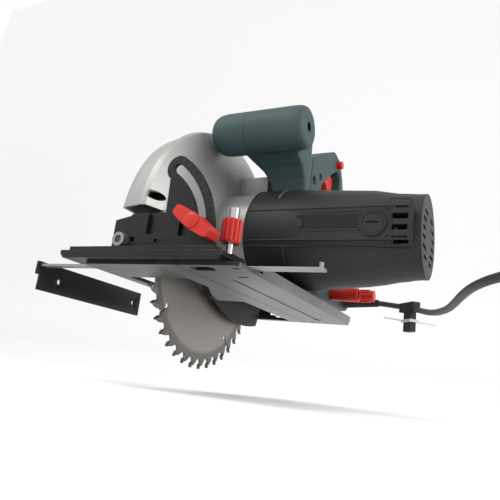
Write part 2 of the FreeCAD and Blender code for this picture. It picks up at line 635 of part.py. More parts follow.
def gear(name, teeth, turn, centre_z, x_low, width):
    body = doc.addObject("PartDesign::Body", name)
    sketch = sketch_on(body, name + "Outline", "YZ_Plane", x_low, centre_z)
    for edge in straight(gear_points(teeth, S.gear_module, S.backlash, turn)):
        sketch.addGeometry(edge, False)
    pad(body, sketch, width, name + "Pad")
    return body


def spindle_and_gear():
    nose = rod("SpindleNose", "X", ("-clamp_face", "0", "arbor_z"), "arbor_radius", "clamp_face + nose_left - 0.5")
    shaft = rod("SpindleShaft", "X", ("nose_left - 0.5", "0", "arbor_z"), "spindle_radius",
                "gear_left + gear_width + 2.5 - nose_left")
    tail = rod("SpindleTail", "X", ("gear_left + gear_width + 2", "0", "arbor_z"), "spindle_tail", "7")
    thread = rod("SpindleThread", "X", ("-5", "0", "arbor_z"), "thread_radius", "17")
    node(cut("Spindle", join("SpindleSolid", nose, shaft, tail), thread), "spindle")
    gap_up = math.radians(90 + 180 / S.gear_teeth)
    wheel = gear("GearWheel", int(S.gear_teeth), gap_up, "arbor_z", "gear_left", "gear_width")
    bore = rod("GearBore", "X", ("0", "0", "arbor_z"), "spindle_radius", "60")
    node(cut("DriveGear", wheel, bore), "drive_gear")
    inner = rod("InnerDisc", "X", ("plate_thick / 2", "0", "arbor_z"), "flange_radius",
                "nose_left - 0.6 - plate_thick / 2")
    outer = rod("OuterDisc", "X", ("-clamp_face", "0", "arbor_z"), "flange_radius - 1",
                "clamp_face - plate_thick / 2")
    for disc, label in ((inner, "inner_flange"), (outer, "outer_flange")):
        hole = rod(label + "Bore", "X", ("-10", "0", "arbor_z"), "arbor_radius", "30")
        node(cut(label, disc, hole), label)
    head = doc.addObject("Part::Prism", "BladeBoltHead")
    head.Polygon = 6
    head.Circumradius = 7.5
    head.Height = 5.5
    head.Placement = FreeCAD.Placement(Vec(), TURN["X"])
    place(head, "-clamp_face - 5.5", "0", "arbor_z")
    shank = rod("BladeBoltShank", "X", ("-clamp_face", "0", "arbor_z"), "thread_radius", "16")
    node(join("BladeBolt", head, shank), "blade_bolt")


def blade():
    """Disc with hooked teeth, four expansion slots and a round bore."""
    count = int(S.tooth_count)
    pitch = 360 / count
    tip = S.blade_radius - S.tip_cover
    root = tip - S.tooth_depth

    def point(radius, degrees):
        angle = math.radians(degrees)
        return (radius * math.sin(angle), -radius * math.cos(angle))

    points = []
    for tooth in range(count):
        angle = S.blade_phase + pitch * tooth
        points.append(point(tip, angle + 0.05 * pitch))
        points.append(point(tip - 1.2, angle + 0.3 * pitch))
        points.append(point(root + 3.6, angle + 0.5 * pitch))
        points.append(point(root + 0.7, angle + 0.64 * pitch))
        points.append(point(root, angle + 0.8 * pitch))
        points.append(point(root + 0.9, angle + 0.98 * pitch))
        points.append(point(root + 3.2, angle + 1.06 * pitch))
    body = doc.addObject("PartDesign::Body", "BladePlate")
    sketch = sketch_on(body, "BladeOutline", "YZ_Plane", "-plate_thick / 2", "arbor_z")
    for edge in straight(points):
        sketch.addGeometry(edge, False)
    pad(body, sketch, "plate_thick", "BladePad")
    hole = sketch_on(body, "BladeBore", "YZ_Plane", "0", "arbor_z")
    hole.addGeometry(Part.Circle(Vec(), Vec(0, 0, 1), S.arbor_radius), False)
    pocket(body, hole, "BladeBoreCut")
    slot_angle = S.blade_phase + 3.83 * pitch
    cuts = sketch_on(body, "BladeSlots", "YZ_Plane", "0", "arbor_z")
    for index in range(int(S.slot_count)):
        angle = math.radians(slot_angle + 360 / S.slot_count * index)
        out = Vec(math.sin(angle), -math.cos(angle), 0)
        side = Vec(math.cos(angle), math.sin(angle), 0)
        radius, half = 2.4, 0.6
        centre = out * S.slot_hole_radius
        join_reach = math.sqrt(radius ** 2 - half ** 2)
        a = centre + out * join_reach + side * half
        b = centre + out * join_reach - side * half
        far_a = out * (S.blade_radius + 3) + side * half
        far_b = out * (S.blade_radius + 3) - side * half
        cuts.addGeometry(Part.LineSegment(a, far_a), False)
        cuts.addGeometry(Part.LineSegment(far_a, far_b), False)
        cuts.addGeometry(Part.LineSegment(far_b, b), False)
        cuts.addGeometry(Part.Arc(b, centre - out * radius, a), False)
    pocket(body, cuts, "BladeSlotCut")
    node(body, "blade")
    tips = doc.addObject("Part::Compound", "CarbideTips")
    tips.Links = [carbide_tip(index, S.blade_phase + pitch * index) for index in range(count)]
    node(tips, "carbide_tips")


def carbide_tip(index, degrees):
    """One tip, a little wider than the plate, brazed on a tooth's cutting face."""
    obj = doc.addObject("Part::Box", "Tip%d" % index)
    obj.Placement = FreeCAD.Placement(Vec(), FreeCAD.Rotation(Vec(1, 0, 0), degrees + 180))
    bind(obj, "Length", "kerf")
    obj.Width = 1.6
    obj.Height = 4.6
    base = "(blade_radius - 4.6)"
    place(obj, "-kerf / 2", "%s * sin(%g) - 0.8 * cos(%g) * -1" % (base, degrees, degrees),
          "arbor_z - %s * cos(%g) + 0.8 * sin(%g)" % (base, degrees, degrees))
    return obj


# ---------------------------------------------------------------- gear case and motor

def tube(name, start, outer, inner, length):
    body = rod(name + "Outer", "X", start, outer, length)
    bore = rod(name + "Bore", "X", (start[0] + " - 1", start[1], start[2]), inner, "(%s) + 2" % length)
    return cut(name, body, bore)


def gear_housing():
    outer = gear_case_outer("Case")
    nose = rod("CaseNose", "X", ("nose_left", "0", "arbor_z"), "nose_radius", "gear_case_left - nose_left + 1")
    solid = join("CaseSolid", nose, *outer)
    room = "gear_left - gear_room"
    wheel = rod("CaseWheel", "X", (room, "0", "arbor_z"), "gear_module * gear_teeth / 2 + 2.3",
                "gear_width + 2 * gear_room")
    pinion = rod("CasePinion", "X", (room, "0", MOTOR_Z), "9.5", "motor_left - bearing_width - gear_left + 2")
    bores = [("SeatA", ("gear_case_left + 0.5", "0", "arbor_z"), "seat_spindle", "gear_left - gear_case_left - 1"),
             ("SeatB", ("gear_left + gear_width + 1", "0", "arbor_z"), "seat_bush", "8.5"),
             ("Nose", ("nose_left - 1", "0", "arbor_z"), "nose_bore", "gear_case_left - nose_left + 2"),
             ("SeatM", ("motor_left - bearing_width", "0", MOTOR_Z), "seat_motor", "bearing_width + 1")]
    tools = [rod("Case" + name, "X", start, radius, length) for name, start, radius, length in bores]
    node(cut("GearHousing", solid, wheel, pinion, *tools), "gear_housing")
    bearings = doc.addObject("Part::Compound", "Bearings")
    bearings.Links = [
        tube("SpindleBearing", ("gear_case_left + 0.5", "0", "arbor_z"), "seat_spindle", "spindle_radius", "8"),
        tube("SpindleBush", ("gear_left + gear_width + 3", "0", "arbor_z"), "seat_bush", "spindle_tail", "6"),
        tube("MotorBearing", ("motor_left - bearing_width", "0", MOTOR_Z), "seat_motor", "shaft_radius",
             "bearing_width"),
        tube("EndBearing", ("motor_right - 12", "0", MOTOR_Z), "seat_end", "shaft_radius", "bearing_width")]
    node(bearings, "ball_bearings")


def motor_housing():
    r = S.motor_radius
    w = S.motor_wall
    left, taper, right, end = S.motor_left, S.motor_taper, S.motor_right, S.motor_end
    middle = (taper + right) / 2
    seat = S.stator_left + S.stator_length + 3
    outer = [(left, r - 2.5), (left + 3, r), (S.motor_shoulder, r), (taper, r - 4.2), (middle, r - 7.5), (right, end)]
    inner = [(right, end - w), (middle, r - 7.5 - w), (taper, r - 4.2 - w), (seat, r - 3 - w),
             (S.stator_left - 4, r - 3 - w), (S.stator_left - 8, r - w), (left + 3, r - w), (left, r - w - 2.5)]
    shell = doc.addObject("PartDesign::Body", "MotorShell")
    profile = sketch_on(shell, "MotorProfile", "XZ_Plane", "0", MOTOR_Z)
    for edge in straight(outer + inner):
        profile.addGeometry(edge, False)
    turned(shell, profile, "MotorTurn")
    panel_z = (MOTOR_Z + " - panel_half", MOTOR_Z + " + panel_half")
    windings_end = "stator_left + stator_length + winding_length + 1"
    bosses = [box("PanelLeft", ("motor_left + 3", windings_end), ("-panel_face", "3.2 - panel_face"), panel_z),
              box("PanelRight", (windings_end, "motor_right - 1"), ("-panel_face", "8 - panel_face"), panel_z)]
    holes = []
    for side, start in (("Front", "-brush_face"), ("Back", "brush_face - 9")):
        bosses.append(rod("BrushBoss" + side, "Y", ("brush_x", start, MOTOR_Z), "brush_cap_radius + 3", "9"))
        holes.append(rod("BrushHole" + side, "Y", ("brush_x", start + " - 2", MOTOR_Z), "brush_cap_radius", "14"))
    for index in range(4):
        low = "%s - 15.5 + vent_pitch * %d" % (MOTOR_Z, index)
        holes.append(box("Vent%d" % index, ("motor_right - 16", "motor_right - 4"), ("-50", "50"),
                         (low, low + " + vent_height")))
    badge_x = ("badge_left", "badge_left + badge_length")
    badge_z = ("badge_z - badge_height / 2", "badge_z + badge_height / 2")
    recess = box("BadgeRecess", badge_x, ("-panel_face - 1", "badge_depth - panel_face"), badge_z)
    node(cut("MotorHousing", join("MotorSolid", shell, *bosses), *holes, recess), "motor_housing")
    node(box("Badge", badge_x, ("-panel_face - 0.2", "badge_depth - panel_face"), badge_z), "badge_plate")
    caps = []
    for side, start in (("Front", "0.4 - brush_face"), ("Back", "brush_face - 5.4")):
        cap = rod("BrushCap" + side, "Y", ("brush_x", start, MOTOR_Z), "brush_cap_radius", "5")
        slot_y = "-brush_face" if side == "Front" else "brush_face - 1.9"
        slot = box("BrushCapSlot" + side, ("brush_x - 5", "brush_x + 5"), (slot_y, slot_y + " + 1.9"),
                   (MOTOR_Z + " - 0.8", MOTOR_Z + " + 0.8"))
        caps.append(cut("BrushCapCut" + side, cap, slot))
    pair = doc.addObject("Part::Compound", "BrushCaps")
    pair.Links = caps
    node(pair, "brush_caps")
    brushes = []
    for side, low, high in (("Front", "5.4 - brush_face", "-commutator_radius - 0.3"),
                            ("Back", "commutator_radius + 0.3", "brush_face - 5.4")):
        brushes.append(box("Brush" + side, ("brush_x - 3", "brush_x + 3"), (low, high),
                           (MOTOR_Z + " - 4.5", MOTOR_Z + " + 4.5")))
    both = doc.addObject("Part::Compound", "Brushes")
    both.Links = brushes
    node(both, "carbon_brushes")


def end_cap():
    disc = rod("CapDisc", "X", ("motor_right", "0", MOTOR_Z), "motor_end", "cap_thick")
    plug = tube("CapPlug", ("motor_right - 3", "0", MOTOR_Z), "motor_end - motor_wall",
                "motor_end - motor_wall - 3", "3.5")
    boss = tube("CapBoss", ("motor_right - 12", "0", MOTOR_Z), "15", "12", "12.5")
    slots = []
    for index in range(6):
        for side in (-1, 1):
            low = -22 + 7.5 * index
            reach = 27 if abs(low + 3) < 16 else 20
            y = ("6", str(reach)) if side > 0 else (str(-reach), "-6")
            name = "CapSlot%d%s" % (index, "P" if side > 0 else "N")
            z = MOTOR_Z + " + %g" % low
            slots.append(box(name, ("motor_right - 1", "motor_right + cap_thick + 1"), y, (z, z + " + 3.2")))
    guard = rod("CapGuard", "X", ("motor_right - 0.5", "0", MOTOR_Z), "16", "cap_thick + 0.5")
    solid = cut("CapSlotted", disc, *slots)
    node(join("EndCap", solid, plug, boss, guard), "end_cap")


def rotor():
    wheel = gear("PinionTeeth", int(S.pinion_teeth), math.radians(-90), MOTOR_Z, "gear_left", "gear_width")
    shaft = rod("RotorShaft", "X", ("gear_left + gear_width", "0", MOTOR_Z), "shaft_radius - run_gap",
                "motor_right - 3 - gear_left - gear_width")
    node(join("ArmatureShaft", wheel, shaft), "armature_shaft")
    core_r = "stator_bore - air_gap"
    node(tube("RotorCore", ("stator_left + 2", "0", MOTOR_Z), core_r, "shaft_radius - run_gap",
              "stator_length - 4"), "rotor_core")
    node(tube("Commutator", ("brush_x - 9", "0", MOTOR_Z), "commutator_radius",
              "shaft_radius - run_gap", "18"), "commutator")
    hub = tube("FanHub", ("motor_left + 9", "0", MOTOR_Z), "fan_radius", "shaft_radius - run_gap", "2.5")
    blades = []
    for index in range(12):
        vane = doc.addObject("Part::Box", "FanVane%d" % index)
        vane.Length = 10.5
        vane.Width = 2
        vane.Height = 20
        vane.Placement = FreeCAD.Placement(Vec(), FreeCAD.Rotation(Vec(1, 0, 0), 30 * index))
        place(vane, "motor_left + 11", "-17 * sin(%d)" % (30 * index), MOTOR_Z + " + 17 * cos(%d)" % (30 * index))
        blades.append(vane)
    node(join("CoolingFan", hub, *blades), "cooling_fan")
    node(tube("StatorCore", ("stator_left", "0", MOTOR_Z), "motor_radius - motor_wall - 3", "stator_bore",
              "stator_length"), "stator_core")
    windings = []
    for side, start in (("Left", "stator_left - winding_length"), ("Right", "stator_left + stator_length")):
        windings.append(tube("Winding" + side, (start, "0", MOTOR_Z), "motor_radius - motor_wall - 6",
                             "stator_bore + 1.5", "winding_length"))
    pair = doc.addObject("Part::Compound", "FieldWinding")
    pair.Links = windings
    node(pair, "field_winding")


# ---------------------------------------------------------------- grips and rear controls

def motor_clear(name):
    return rod(name, "X", ("motor_left - 3", "0", MOTOR_Z), "motor_radius", "motor_taper - motor_left")


def front_grip():
    left = rod("GripLeftRod", "X", ("grip_left", "-grip_y", "grip_z"), "grip_radius", "grip_split - grip_left")
    rounding = doc.addObject("Part::Fillet", "GripLeft")
    rounding.Base = left
    doc.recompute()
    ends = [(i, 9.0, 9.0) for i, e in enumerate(left.Shape.Edges, 1)
            if abs(e.BoundBox.XMax - S.grip_left) < 0.01 and abs(e.BoundBox.XMin - S.grip_left) < 0.01]
    rounding.Edges = ends
    node(rounding, "front_grip_left")
    right = rod("GripRightRod", "X", ("grip_split", "-grip_y", "grip_z"), "grip_radius", "grip_right - grip_split")
    soft = doc.addObject("Part::Fillet", "GripRightSoft")
    soft.Base = right
    doc.recompute()
    soft.Edges = [(i, 3.0, 3.0) for i, e in enumerate(right.Shape.Edges, 1)
                  if abs(e.BoundBox.XMax - S.grip_right) < 0.01 and abs(e.BoundBox.XMin - S.grip_right) < 0.01]
    y = -S.grip_y
    z = S.grip_z
    front = S.handle_front - 0.3
    points = [(y + 34, 90), (y + 34, z - 39), (y + 29, z - 29), (y + 18, z - 21), (y + 6, z - 16), (y, z + 4),
              (y + 12, z + 15), (0, z + 5), (front, z + 7), (front, 90)]
    neck = plate_yz("Neck", straight(points), "neck_left", "neck_right")
    recess = rod("GripEndHole", "X", ("grip_right - 2.5", "-grip_y", "grip_z"), "4", "5")
    step = box("NeckStep", ("handle_right", "neck_right + 1"), ("-4", "handle_front"), ("90", "grip_z + 20"))
    tools = [motor_clear("NeckSeat"), recess, step]
    tools += [rod("NeckHole%s" % name, "X", ("neck_right - 6", y, z), "screw_radius", "10")
              for name, x, y, z in SCREWS if x == "neck_right"]
    node(cut("FrontGripRight", join("GripRightSolid", soft, neck), *tools), "front_grip_right")


TRIGGER_PIVOT = ("80", "160")


def handle():
    """Two shells of the closed rear handle, split down the middle."""
    f = S.handle_front
    outline = [(f, 60), (f, 154), (60, 175), (88, 189), (108, 186), (121, 170), (135, 135), (152, 98), (170, 60),
               (183, 44), (183, 28), (172, 23), (50, 25), (30, 30)]
    loop = [(54, 58), (52, 100), (52, 124), (56, 137), (68, 147), (84, 159.5), (102, 172), (112, 169), (114, 152),
            (119, 118), (129, 85), (139, 58), (130, 52), (62, 52)]
    lock_y = "lock_reach - hinge_y"
    for side, low, high in (("Left", "handle_left", "handle_split"), ("Right", "handle_split", "handle_right")):
        shell = plate_yz("Handle" + side, rounded(outline, 8), low, high)
        opening = plate_yz("HandleLoop" + side, rounded(loop, 9), low + " - 1", high + " + 1")
        chamber = box("SwitchChamber" + side, ("handle_split - chamber_half", "handle_split + chamber_half"),
                      ("76", "110"), ("138", "181"))
        bolt = rod("LockHole" + side, "X", ("handle_left - 30", lock_y, "hinge_z"), "bolt_radius + run_gap", "80")
        tools = [opening, motor_clear("HandleSeat" + side), chamber, bolt]
        if side == "Right":
            tools.append(rod("ButtonHole", "X", ("handle_split + 2", "button_y", "button_z"),
                             "button_radius + run_gap * 2", "20"))
            tools += [rod("HandleHole%s" % name, "X", ("handle_right - 6", y, z), "screw_radius", "10")
                      for name, x, y, z in SCREWS if x == "handle_right"]
            tools += [rod("HandleWell%d" % index, "X", ("handle_right - 4", y, z), reach, "5")
                      for index, (y, z, reach) in enumerate((("33", "132", "4.6"), ("50", "143", "3.6")))]
            node(cut("HandleShell" + side, shell, *tools), "handle_right_shell")
        else:
            boss = rod("LockBoss", "X", ("arm_x + arm_thick + side_gap", lock_y, "hinge_z"), "7",
                       "handle_left - arm_x - arm_thick")
            hollow = cut("HandleShell" + side, join("HandleLeftSolid", shell, boss), *tools)
            pin = rod("TriggerPin", "X", ("handle_split - chamber_half - 1", *TRIGGER_PIVOT), "pivot_pin",
                      "2 * chamber_half + 0.5")
            node(join("HandlePinned", hollow, pin), "handle_left_shell")
    along = Vec(14, -35, 0).normalize()
    out = Vec(35, 14, 0).normalize()
    first = Vec(121, 170, 0) + along * 5
    last = Vec(135, 135, 0) - along * 5
    strip = [(first.x, first.y), (last.x, last.y), (last.x + 2 * out.x, last.y + 2 * out.y),
             (first.x + 2 * out.x, first.y + 2 * out.y)]
    node(plate_yz("PalmStrip", straight(strip), "handle_left + 6", "handle_right - 6"), "palm_strip")


def controls():
    outline = [(77, 164), (104, 164), (106, 158), (104, 146), (97, 137), (91, 136), (92, 144), (86, 150), (77, 152)]
    blank = plate_yz("TriggerPlate", rounded(outline, 1.5), "handle_split - trigger_half",
                     "handle_split + trigger_half")
    pin_hole = rod("TriggerPinHole", "X", ("handle_left", *TRIGGER_PIVOT), "pivot_pin + run_gap",
                   "handle_right - handle_left")
    node(cut("TriggerBored", blank, pin_hole), "trigger")
    node(box("SwitchBox", ("handle_split - chamber_half", "handle_split + 4"), ("78", "109"), ("173", "181")),
         "switch_body")
    node(rod("LockCap", "X", ("handle_split + chamber_half + 0.5", "button_y", "button_z"), "button_radius", "11"),
         "lock_button")
    node(tube("DustPort", ("handle_right", "port_y", "port_z"), "port_radius", "port_radius - port_wall",
              "port_length"), "dust_port")


def depth_lever():
    """Ribbed twist lever on the bolt that locks the depth arm."""
    y = "lock_reach - hinge_y"
    start = "handle_right + side_gap"
    core = rod("LeverCore", "X", (start, y, "hinge_z"), "lock_hub - 1", "38")
    ribs = []
    for index in range(10):
        rib = rod("LeverRib%d" % index, "X", (start, "0", "0"), "1", "33")
        bind(rib, "Placement.Base.y", "%s + (lock_hub - 1) * cos(%d)" % (y, 36 * index))
        bind(rib, "Placement.Base.z", "hinge_z + (lock_hub - 1) * sin(%d)" % (36 * index))
        ribs.append(rib)
    bore = rod("LeverBore", "X", ("handle_right", y, "hinge_z"), "bolt_radius", "16")
    node(cut("DepthLever", join("LeverSolid", core, *ribs), bore), "depth_lever")
    shank = rod("LockBolt", "X", ("arm_x - 0.5", y, "hinge_z"), "bolt_radius", "handle_right + 13 - arm_x")
    head = rod("LockBoltHead", "X", ("arm_x - side_gap - 3", y, "hinge_z"), "screw_head", "3")
    node(join("DepthLockBolt", shank, head), "depth_lock_bolt")


def strain_relief():
    node(cone("ReliefCone", "X", ("handle_right", "relief_y", "relief_z"), "relief_start", "relief_end",
              "relief_length"), "strain_relief")


def housing_screws():
    """Screws sunk in the grip and the handle."""
    heads = []
    for name, x, y, z in SCREWS:
        heads.append(rod("Screw" + name, "X", (x + " - 6", y, z), "screw_radius", "2.5"))
    group = doc.addObject("Part::Compound", "HousingScrews")
    group.Links = heads
    node(group, "housing_screws")


# ---------------------------------------------------------------- cord

CORD = [(128, 165, 33), (140, 166, 32), (152, 162, 30), (165, 151, 27), (179, 134, 22), (191, 107, 16),
        (202, 76, 11), (212, 42, 7), (221, 10, 4), (229, -22, 3.1), (236, -50, 3.1), (244, -77, 3.1),
        (255, -101, 3.1), (270, -120, 3.1), (290, -132, 3.1), (312, -138, 3.1)]
COIL_CENTRE = (322, -100)


def cord_path(points):
    """Straight runs joined by tangent arcs, each as large as its two runs allow."""
    corners = [Vec(*point) for point in points]
    edges = []
    start = corners[0]
    for before, here, after in zip(corners, corners[1:], corners[2:]):
        back = before - here
        ahead = after - here
        half_turn = (math.pi - back.getAngle(ahead)) / 2
        reach = 0.45 * min(back.Length, ahead.Length)
        radius = reach / math.tan(half_turn)
        back.normalize()
        ahead.normalize()
        first = here + back * reach
        last = here + ahead * reach
        middle = here + (back + ahead).normalize() * (radius / math.cos(half_turn) - radius)
        edges.append(Part.LineSegment(start, first))
        edges.append(Part.Arc(first, middle, last))
        start = last
    edges.append(Part.LineSegment(start, corners[-1]))
    return Part.Wire([edge.toShape() for edge in edges])


def cord():
    path = cord_path(CORD)
    first = Vec(*CORD[0])
    heading = Vec(*CORD[1]) - first
    ring = Part.Wire([Part.makeCircle(S.cord_dia / 2, first, heading)])
    solid = path.makePipeShell([ring], True, False)
    expected = math.pi * (S.cord_dia / 2) ** 2 * path.Length
    if abs(solid.Volume / expected - 1) > 0.01:
        raise RuntimeError("the cord's tube folds on itself")
    node(shown("CordTube", solid), "cord_tube")
    height = 2.8 * S.cord_dia
    outer = Part.makeCylinder(S.coil_turn + 1.6 * S.cord_dia, height, Vec(*COIL_CENTRE, 0.1))
    inner = Part.makeCylinder(S.coil_turn - 1.6 * S.cord_dia, height + 2, Vec(*COIL_CENTRE, -0.9))
    node(shown("CordCoil", outer.cut(inner)), "cord_coil")


def plug():
    """Moulded two pin plug that the coil's last turn runs straight into."""
    body = cone("PlugBody", "Y", ("plug_x", "-66", "plug_z"), "5", "12", "36")
    face = rod("PlugFace", "Y", ("plug_x", "-30", "plug_z"), "12.5", "6")
    pins = []
    for index, x in enumerate(("plug_x - 9.5", "plug_x + 9.5")):
        pins.append(rod("PlugPin%d" % index, "Y", (x, "-24", "plug_z"), "2.3", "19"))
    lead = rod("PlugLead", "Y", ("plug_x", "-90", "plug_z"), "cord_dia / 2", "24")
    node(join("PlugSolid", body, face, lead, *pins), "plug_body")


def key_clip():
    """Rubber holder for the hex key, pushed on the cord, and the tie through it."""
    centre = Vec(*CORD[3])
    heading = Vec(*CORD[4]) - Vec(*CORD[2])
    heading.z = 0
    heading.normalize()
    angle = math.degrees(math.atan2(heading.y, heading.x))
    turn = FreeCAD.Rotation(Vec(0, 0, 1), angle)
    sleeve = Part.makeBox(26, 9, 10, Vec(-13, -4.5, -4.5))
    tab = Part.makeBox(13, 7, 22, Vec(-5, -3.5, -26))
    solid = sleeve.fuse(tab)
    solid.Placement = FreeCAD.Placement(centre, turn)
    node(shown("KeyClip", solid), "key_clip")
    strap = Part.makeBox(17, 11, 3, Vec(-7, -5.5, -16)).cut(Part.makeBox(13.02, 7.02, 5, Vec(-5.01, -3.51, -17)))
    tail = Part.makeBox(2.5, 26, 1.2, Vec(2, 5, -15.2))
    other = Part.makeBox(2.5, 24, 1.2, Vec(-3, -29, -15.2))
    solid = strap.fuse([tail, other])
    solid.Placement = FreeCAD.Placement(centre, turn)
    node(shown("CableTie", solid), "cable_tie")


# ---------------------------------------------------------------- build

base_plate()
front_rail()
front_bracket()
pivot_screws()
rear_bracket()
fence_clamp()
fence()
tilt_bracket()
depth_arm()
bevel_knob()
upper_guard()
guard_cover()
lower_guard()
spindle_and_gear()
blade()
gear_housing()
motor_housing()
end_cap()
rotor()
front_grip()
handle()
controls()
depth_lever()
strain_relief()
housing_screws()
cord()
plug()
key_clip()
doc.recompute()

failed = [obj.Name for obj in doc.Objects if "Invalid" in obj.State or "Error" in obj.State]
if failed:
    raise RuntimeError("failed objects: %s" % ", ".join(failed))
for obj in NODES:
    if obj.Shape.isNull() or not obj.Shape.isValid() or not obj.Shape.Solids:
        raise RuntimeError("bad shape: %s" % obj.Label)

os.makedirs("parts", exist_ok=True)
for obj in NODES:
    obj.Shape.exportStep("parts/%s.step" % obj.Label)
print("%d nodes written" % len(NODES))
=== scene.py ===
import bpy
import json
import math
from mathutils import Matrix, Vector


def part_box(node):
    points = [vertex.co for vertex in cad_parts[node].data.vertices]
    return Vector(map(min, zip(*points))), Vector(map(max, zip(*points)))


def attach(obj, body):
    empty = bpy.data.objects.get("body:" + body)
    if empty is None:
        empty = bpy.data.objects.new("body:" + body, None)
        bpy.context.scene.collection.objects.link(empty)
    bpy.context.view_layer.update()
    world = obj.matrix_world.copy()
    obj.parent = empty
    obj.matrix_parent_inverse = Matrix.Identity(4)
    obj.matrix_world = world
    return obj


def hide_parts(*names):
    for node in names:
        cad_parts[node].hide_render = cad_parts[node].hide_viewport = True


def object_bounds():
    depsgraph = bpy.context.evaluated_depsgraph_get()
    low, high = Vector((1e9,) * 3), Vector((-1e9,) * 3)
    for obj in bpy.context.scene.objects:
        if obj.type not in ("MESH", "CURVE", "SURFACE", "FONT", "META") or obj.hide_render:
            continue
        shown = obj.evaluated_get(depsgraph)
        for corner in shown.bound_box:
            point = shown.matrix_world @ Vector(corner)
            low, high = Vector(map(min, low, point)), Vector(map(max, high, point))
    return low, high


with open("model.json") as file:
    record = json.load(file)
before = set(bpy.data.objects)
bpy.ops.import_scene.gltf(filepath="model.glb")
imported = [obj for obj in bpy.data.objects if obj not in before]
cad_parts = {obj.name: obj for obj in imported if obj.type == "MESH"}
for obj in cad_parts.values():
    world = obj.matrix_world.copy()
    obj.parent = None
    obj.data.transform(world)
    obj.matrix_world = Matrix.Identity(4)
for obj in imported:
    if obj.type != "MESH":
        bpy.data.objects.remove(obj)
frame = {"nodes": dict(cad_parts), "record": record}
cad_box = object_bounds()
NODES = frame["nodes"]
MM = 0.001


def centre(node):
    low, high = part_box(node)
    return (low + high) / 2


ARBOR = centre("blade_bolt")
MOTOR = centre("armature_shaft")


# ---------------------------------------------------------------- materials

def new_material(name):
    material = bpy.data.materials.new(name)
    material.use_nodes = True
    tree = material.node_tree
    return material, tree, tree.nodes["Principled BSDF"]


def add(tree, kind, **values):
    node = tree.nodes.new(kind)
    for key, value in values.items():
        setattr(node, key, value)
    return node


def noise(tree, scale, detail=4.0, stretch=(1, 1, 1)):
    """Noise in object space, drawn out along an axis by a small stretch number."""
    coords = add(tree, "ShaderNodeTexCoord")
    mapping = add(tree, "ShaderNodeMapping")
    mapping.inputs["Scale"].default_value = stretch
    texture = add(tree, "ShaderNodeTexNoise")
    texture.inputs["Scale"].default_value = scale
    texture.inputs["Detail"].default_value = detail
    tree.links.new(coords.outputs["Object"], mapping.inputs["Vector"])
    tree.links.new(mapping.outputs["Vector"], texture.inputs["Vector"])
    return texture


def ramp(tree, source, low, high, first, last):
    """A colour ramp on a factor, from first at low to last at high."""
    node = add(tree, "ShaderNodeValToRGB")
    node.color_ramp.elements[0].position = low
    node.color_ramp.elements[0].color = first
    node.color_ramp.elements[1].position = high
    node.color_ramp.elements[1].color = last
    tree.links.new(source, node.inputs["Fac"])
    return node


def rgba(colour, factor=1.0):
    return tuple(min(1.0, channel * factor) for channel in colour) + (1.0,)


def surface(name, colour, rough, metal=0.0, grain=2500, depth=0.03, mottle=25, spread=0.12,
            stretch=(1, 1, 1), coat=0.0, shine=0.3, steps=()):
    """Mottled colour, varied roughness and a fine bump.

    Each step is called with the tree and a colour socket, and returns the next colour socket.
    """
    material, tree, shader = new_material(name)
    broad = noise(tree, mottle, 3)
    tone = ramp(tree, broad.outputs["Fac"], 0.3, 0.7, rgba(colour, 1 - spread), rgba(colour, 1 + spread))
    fine = noise(tree, grain, 3, stretch)
    gloss = add(tree, "ShaderNodeMapRange")
    gloss.inputs["To Min"].default_value = max(0.02, rough - 0.08)
    gloss.inputs["To Max"].default_value = min(1.0, rough + 0.08)
    tree.links.new(fine.outputs["Fac"], gloss.inputs["Value"])
    tree.links.new(gloss.outputs["Result"], shader.inputs["Roughness"])
    bump = add(tree, "ShaderNodeBump")
    bump.inputs["Strength"].default_value = depth * 10
    bump.inputs["Distance"].default_value = 0.0001
    tree.links.new(fine.outputs["Fac"], bump.inputs["Height"])
    tree.links.new(bump.outputs["Normal"], shader.inputs["Normal"])
    colour_out = tone.outputs["Color"]
    for step in steps:
        colour_out = step(tree, colour_out)
    tree.links.new(colour_out, shader.inputs["Base Color"])
    shader.inputs["Metallic"].default_value = metal
    shader.inputs["Specular IOR Level"].default_value = shine
    shader.inputs["Coat Weight"].default_value = coat
    shader.inputs["Coat Roughness"].default_value = 0.25
    return material


def object_axis(tree, axis, output="Object"):
    """One component of the object-space position or normal."""
    coords = add(tree, "ShaderNodeTexCoord")
    split = add(tree, "ShaderNodeSeparateXYZ")
    tree.links.new(coords.outputs[output], split.inputs["Vector"])
    return split.outputs[axis]


def darken(tree, colour_out, factor, shade):
    """Multiplies the colour by shade wherever factor is one."""
    mix = add(tree, "ShaderNodeMix", data_type="RGBA")
    mix.blend_type = "MULTIPLY"
    mix.inputs["B"].default_value = (shade, shade, shade, 1)
    tree.links.new(factor, mix.inputs["Factor"])
    tree.links.new(colour_out, mix.inputs["A"])
    return mix.outputs["Result"]


def seam(axis, place, half=0.00035, shade=0.25):
    """A thin dark line where the object's axis coordinate is place."""
    def step(tree, colour_out):
        away = add(tree, "ShaderNodeMath", operation="SUBTRACT")
        away.inputs[1].default_value = place
        tree.links.new(object_axis(tree, axis), away.inputs[0])
        size = add(tree, "ShaderNodeMath", operation="ABSOLUTE")
        tree.links.new(away.outputs[0], size.inputs[0])
        inside = add(tree, "ShaderNodeMath", operation="LESS_THAN")
        inside.inputs[1].default_value = half
        tree.links.new(size.outputs[0], inside.inputs[0])
        return darken(tree, colour_out, inside.outputs[0], shade)
    return step


def facing(axis, low, high, shade):
    """Darkens faces whose normal's component goes from low to high."""
    def step(tree, colour_out):
        reach = add(tree, "ShaderNodeMapRange")
        reach.inputs["From Min"].default_value = low
        reach.inputs["From Max"].default_value = high
        tree.links.new(object_axis(tree, axis, "Normal"), reach.inputs["Value"])
        return darken(tree, colour_out, reach.outputs["Result"], shade)
    return step


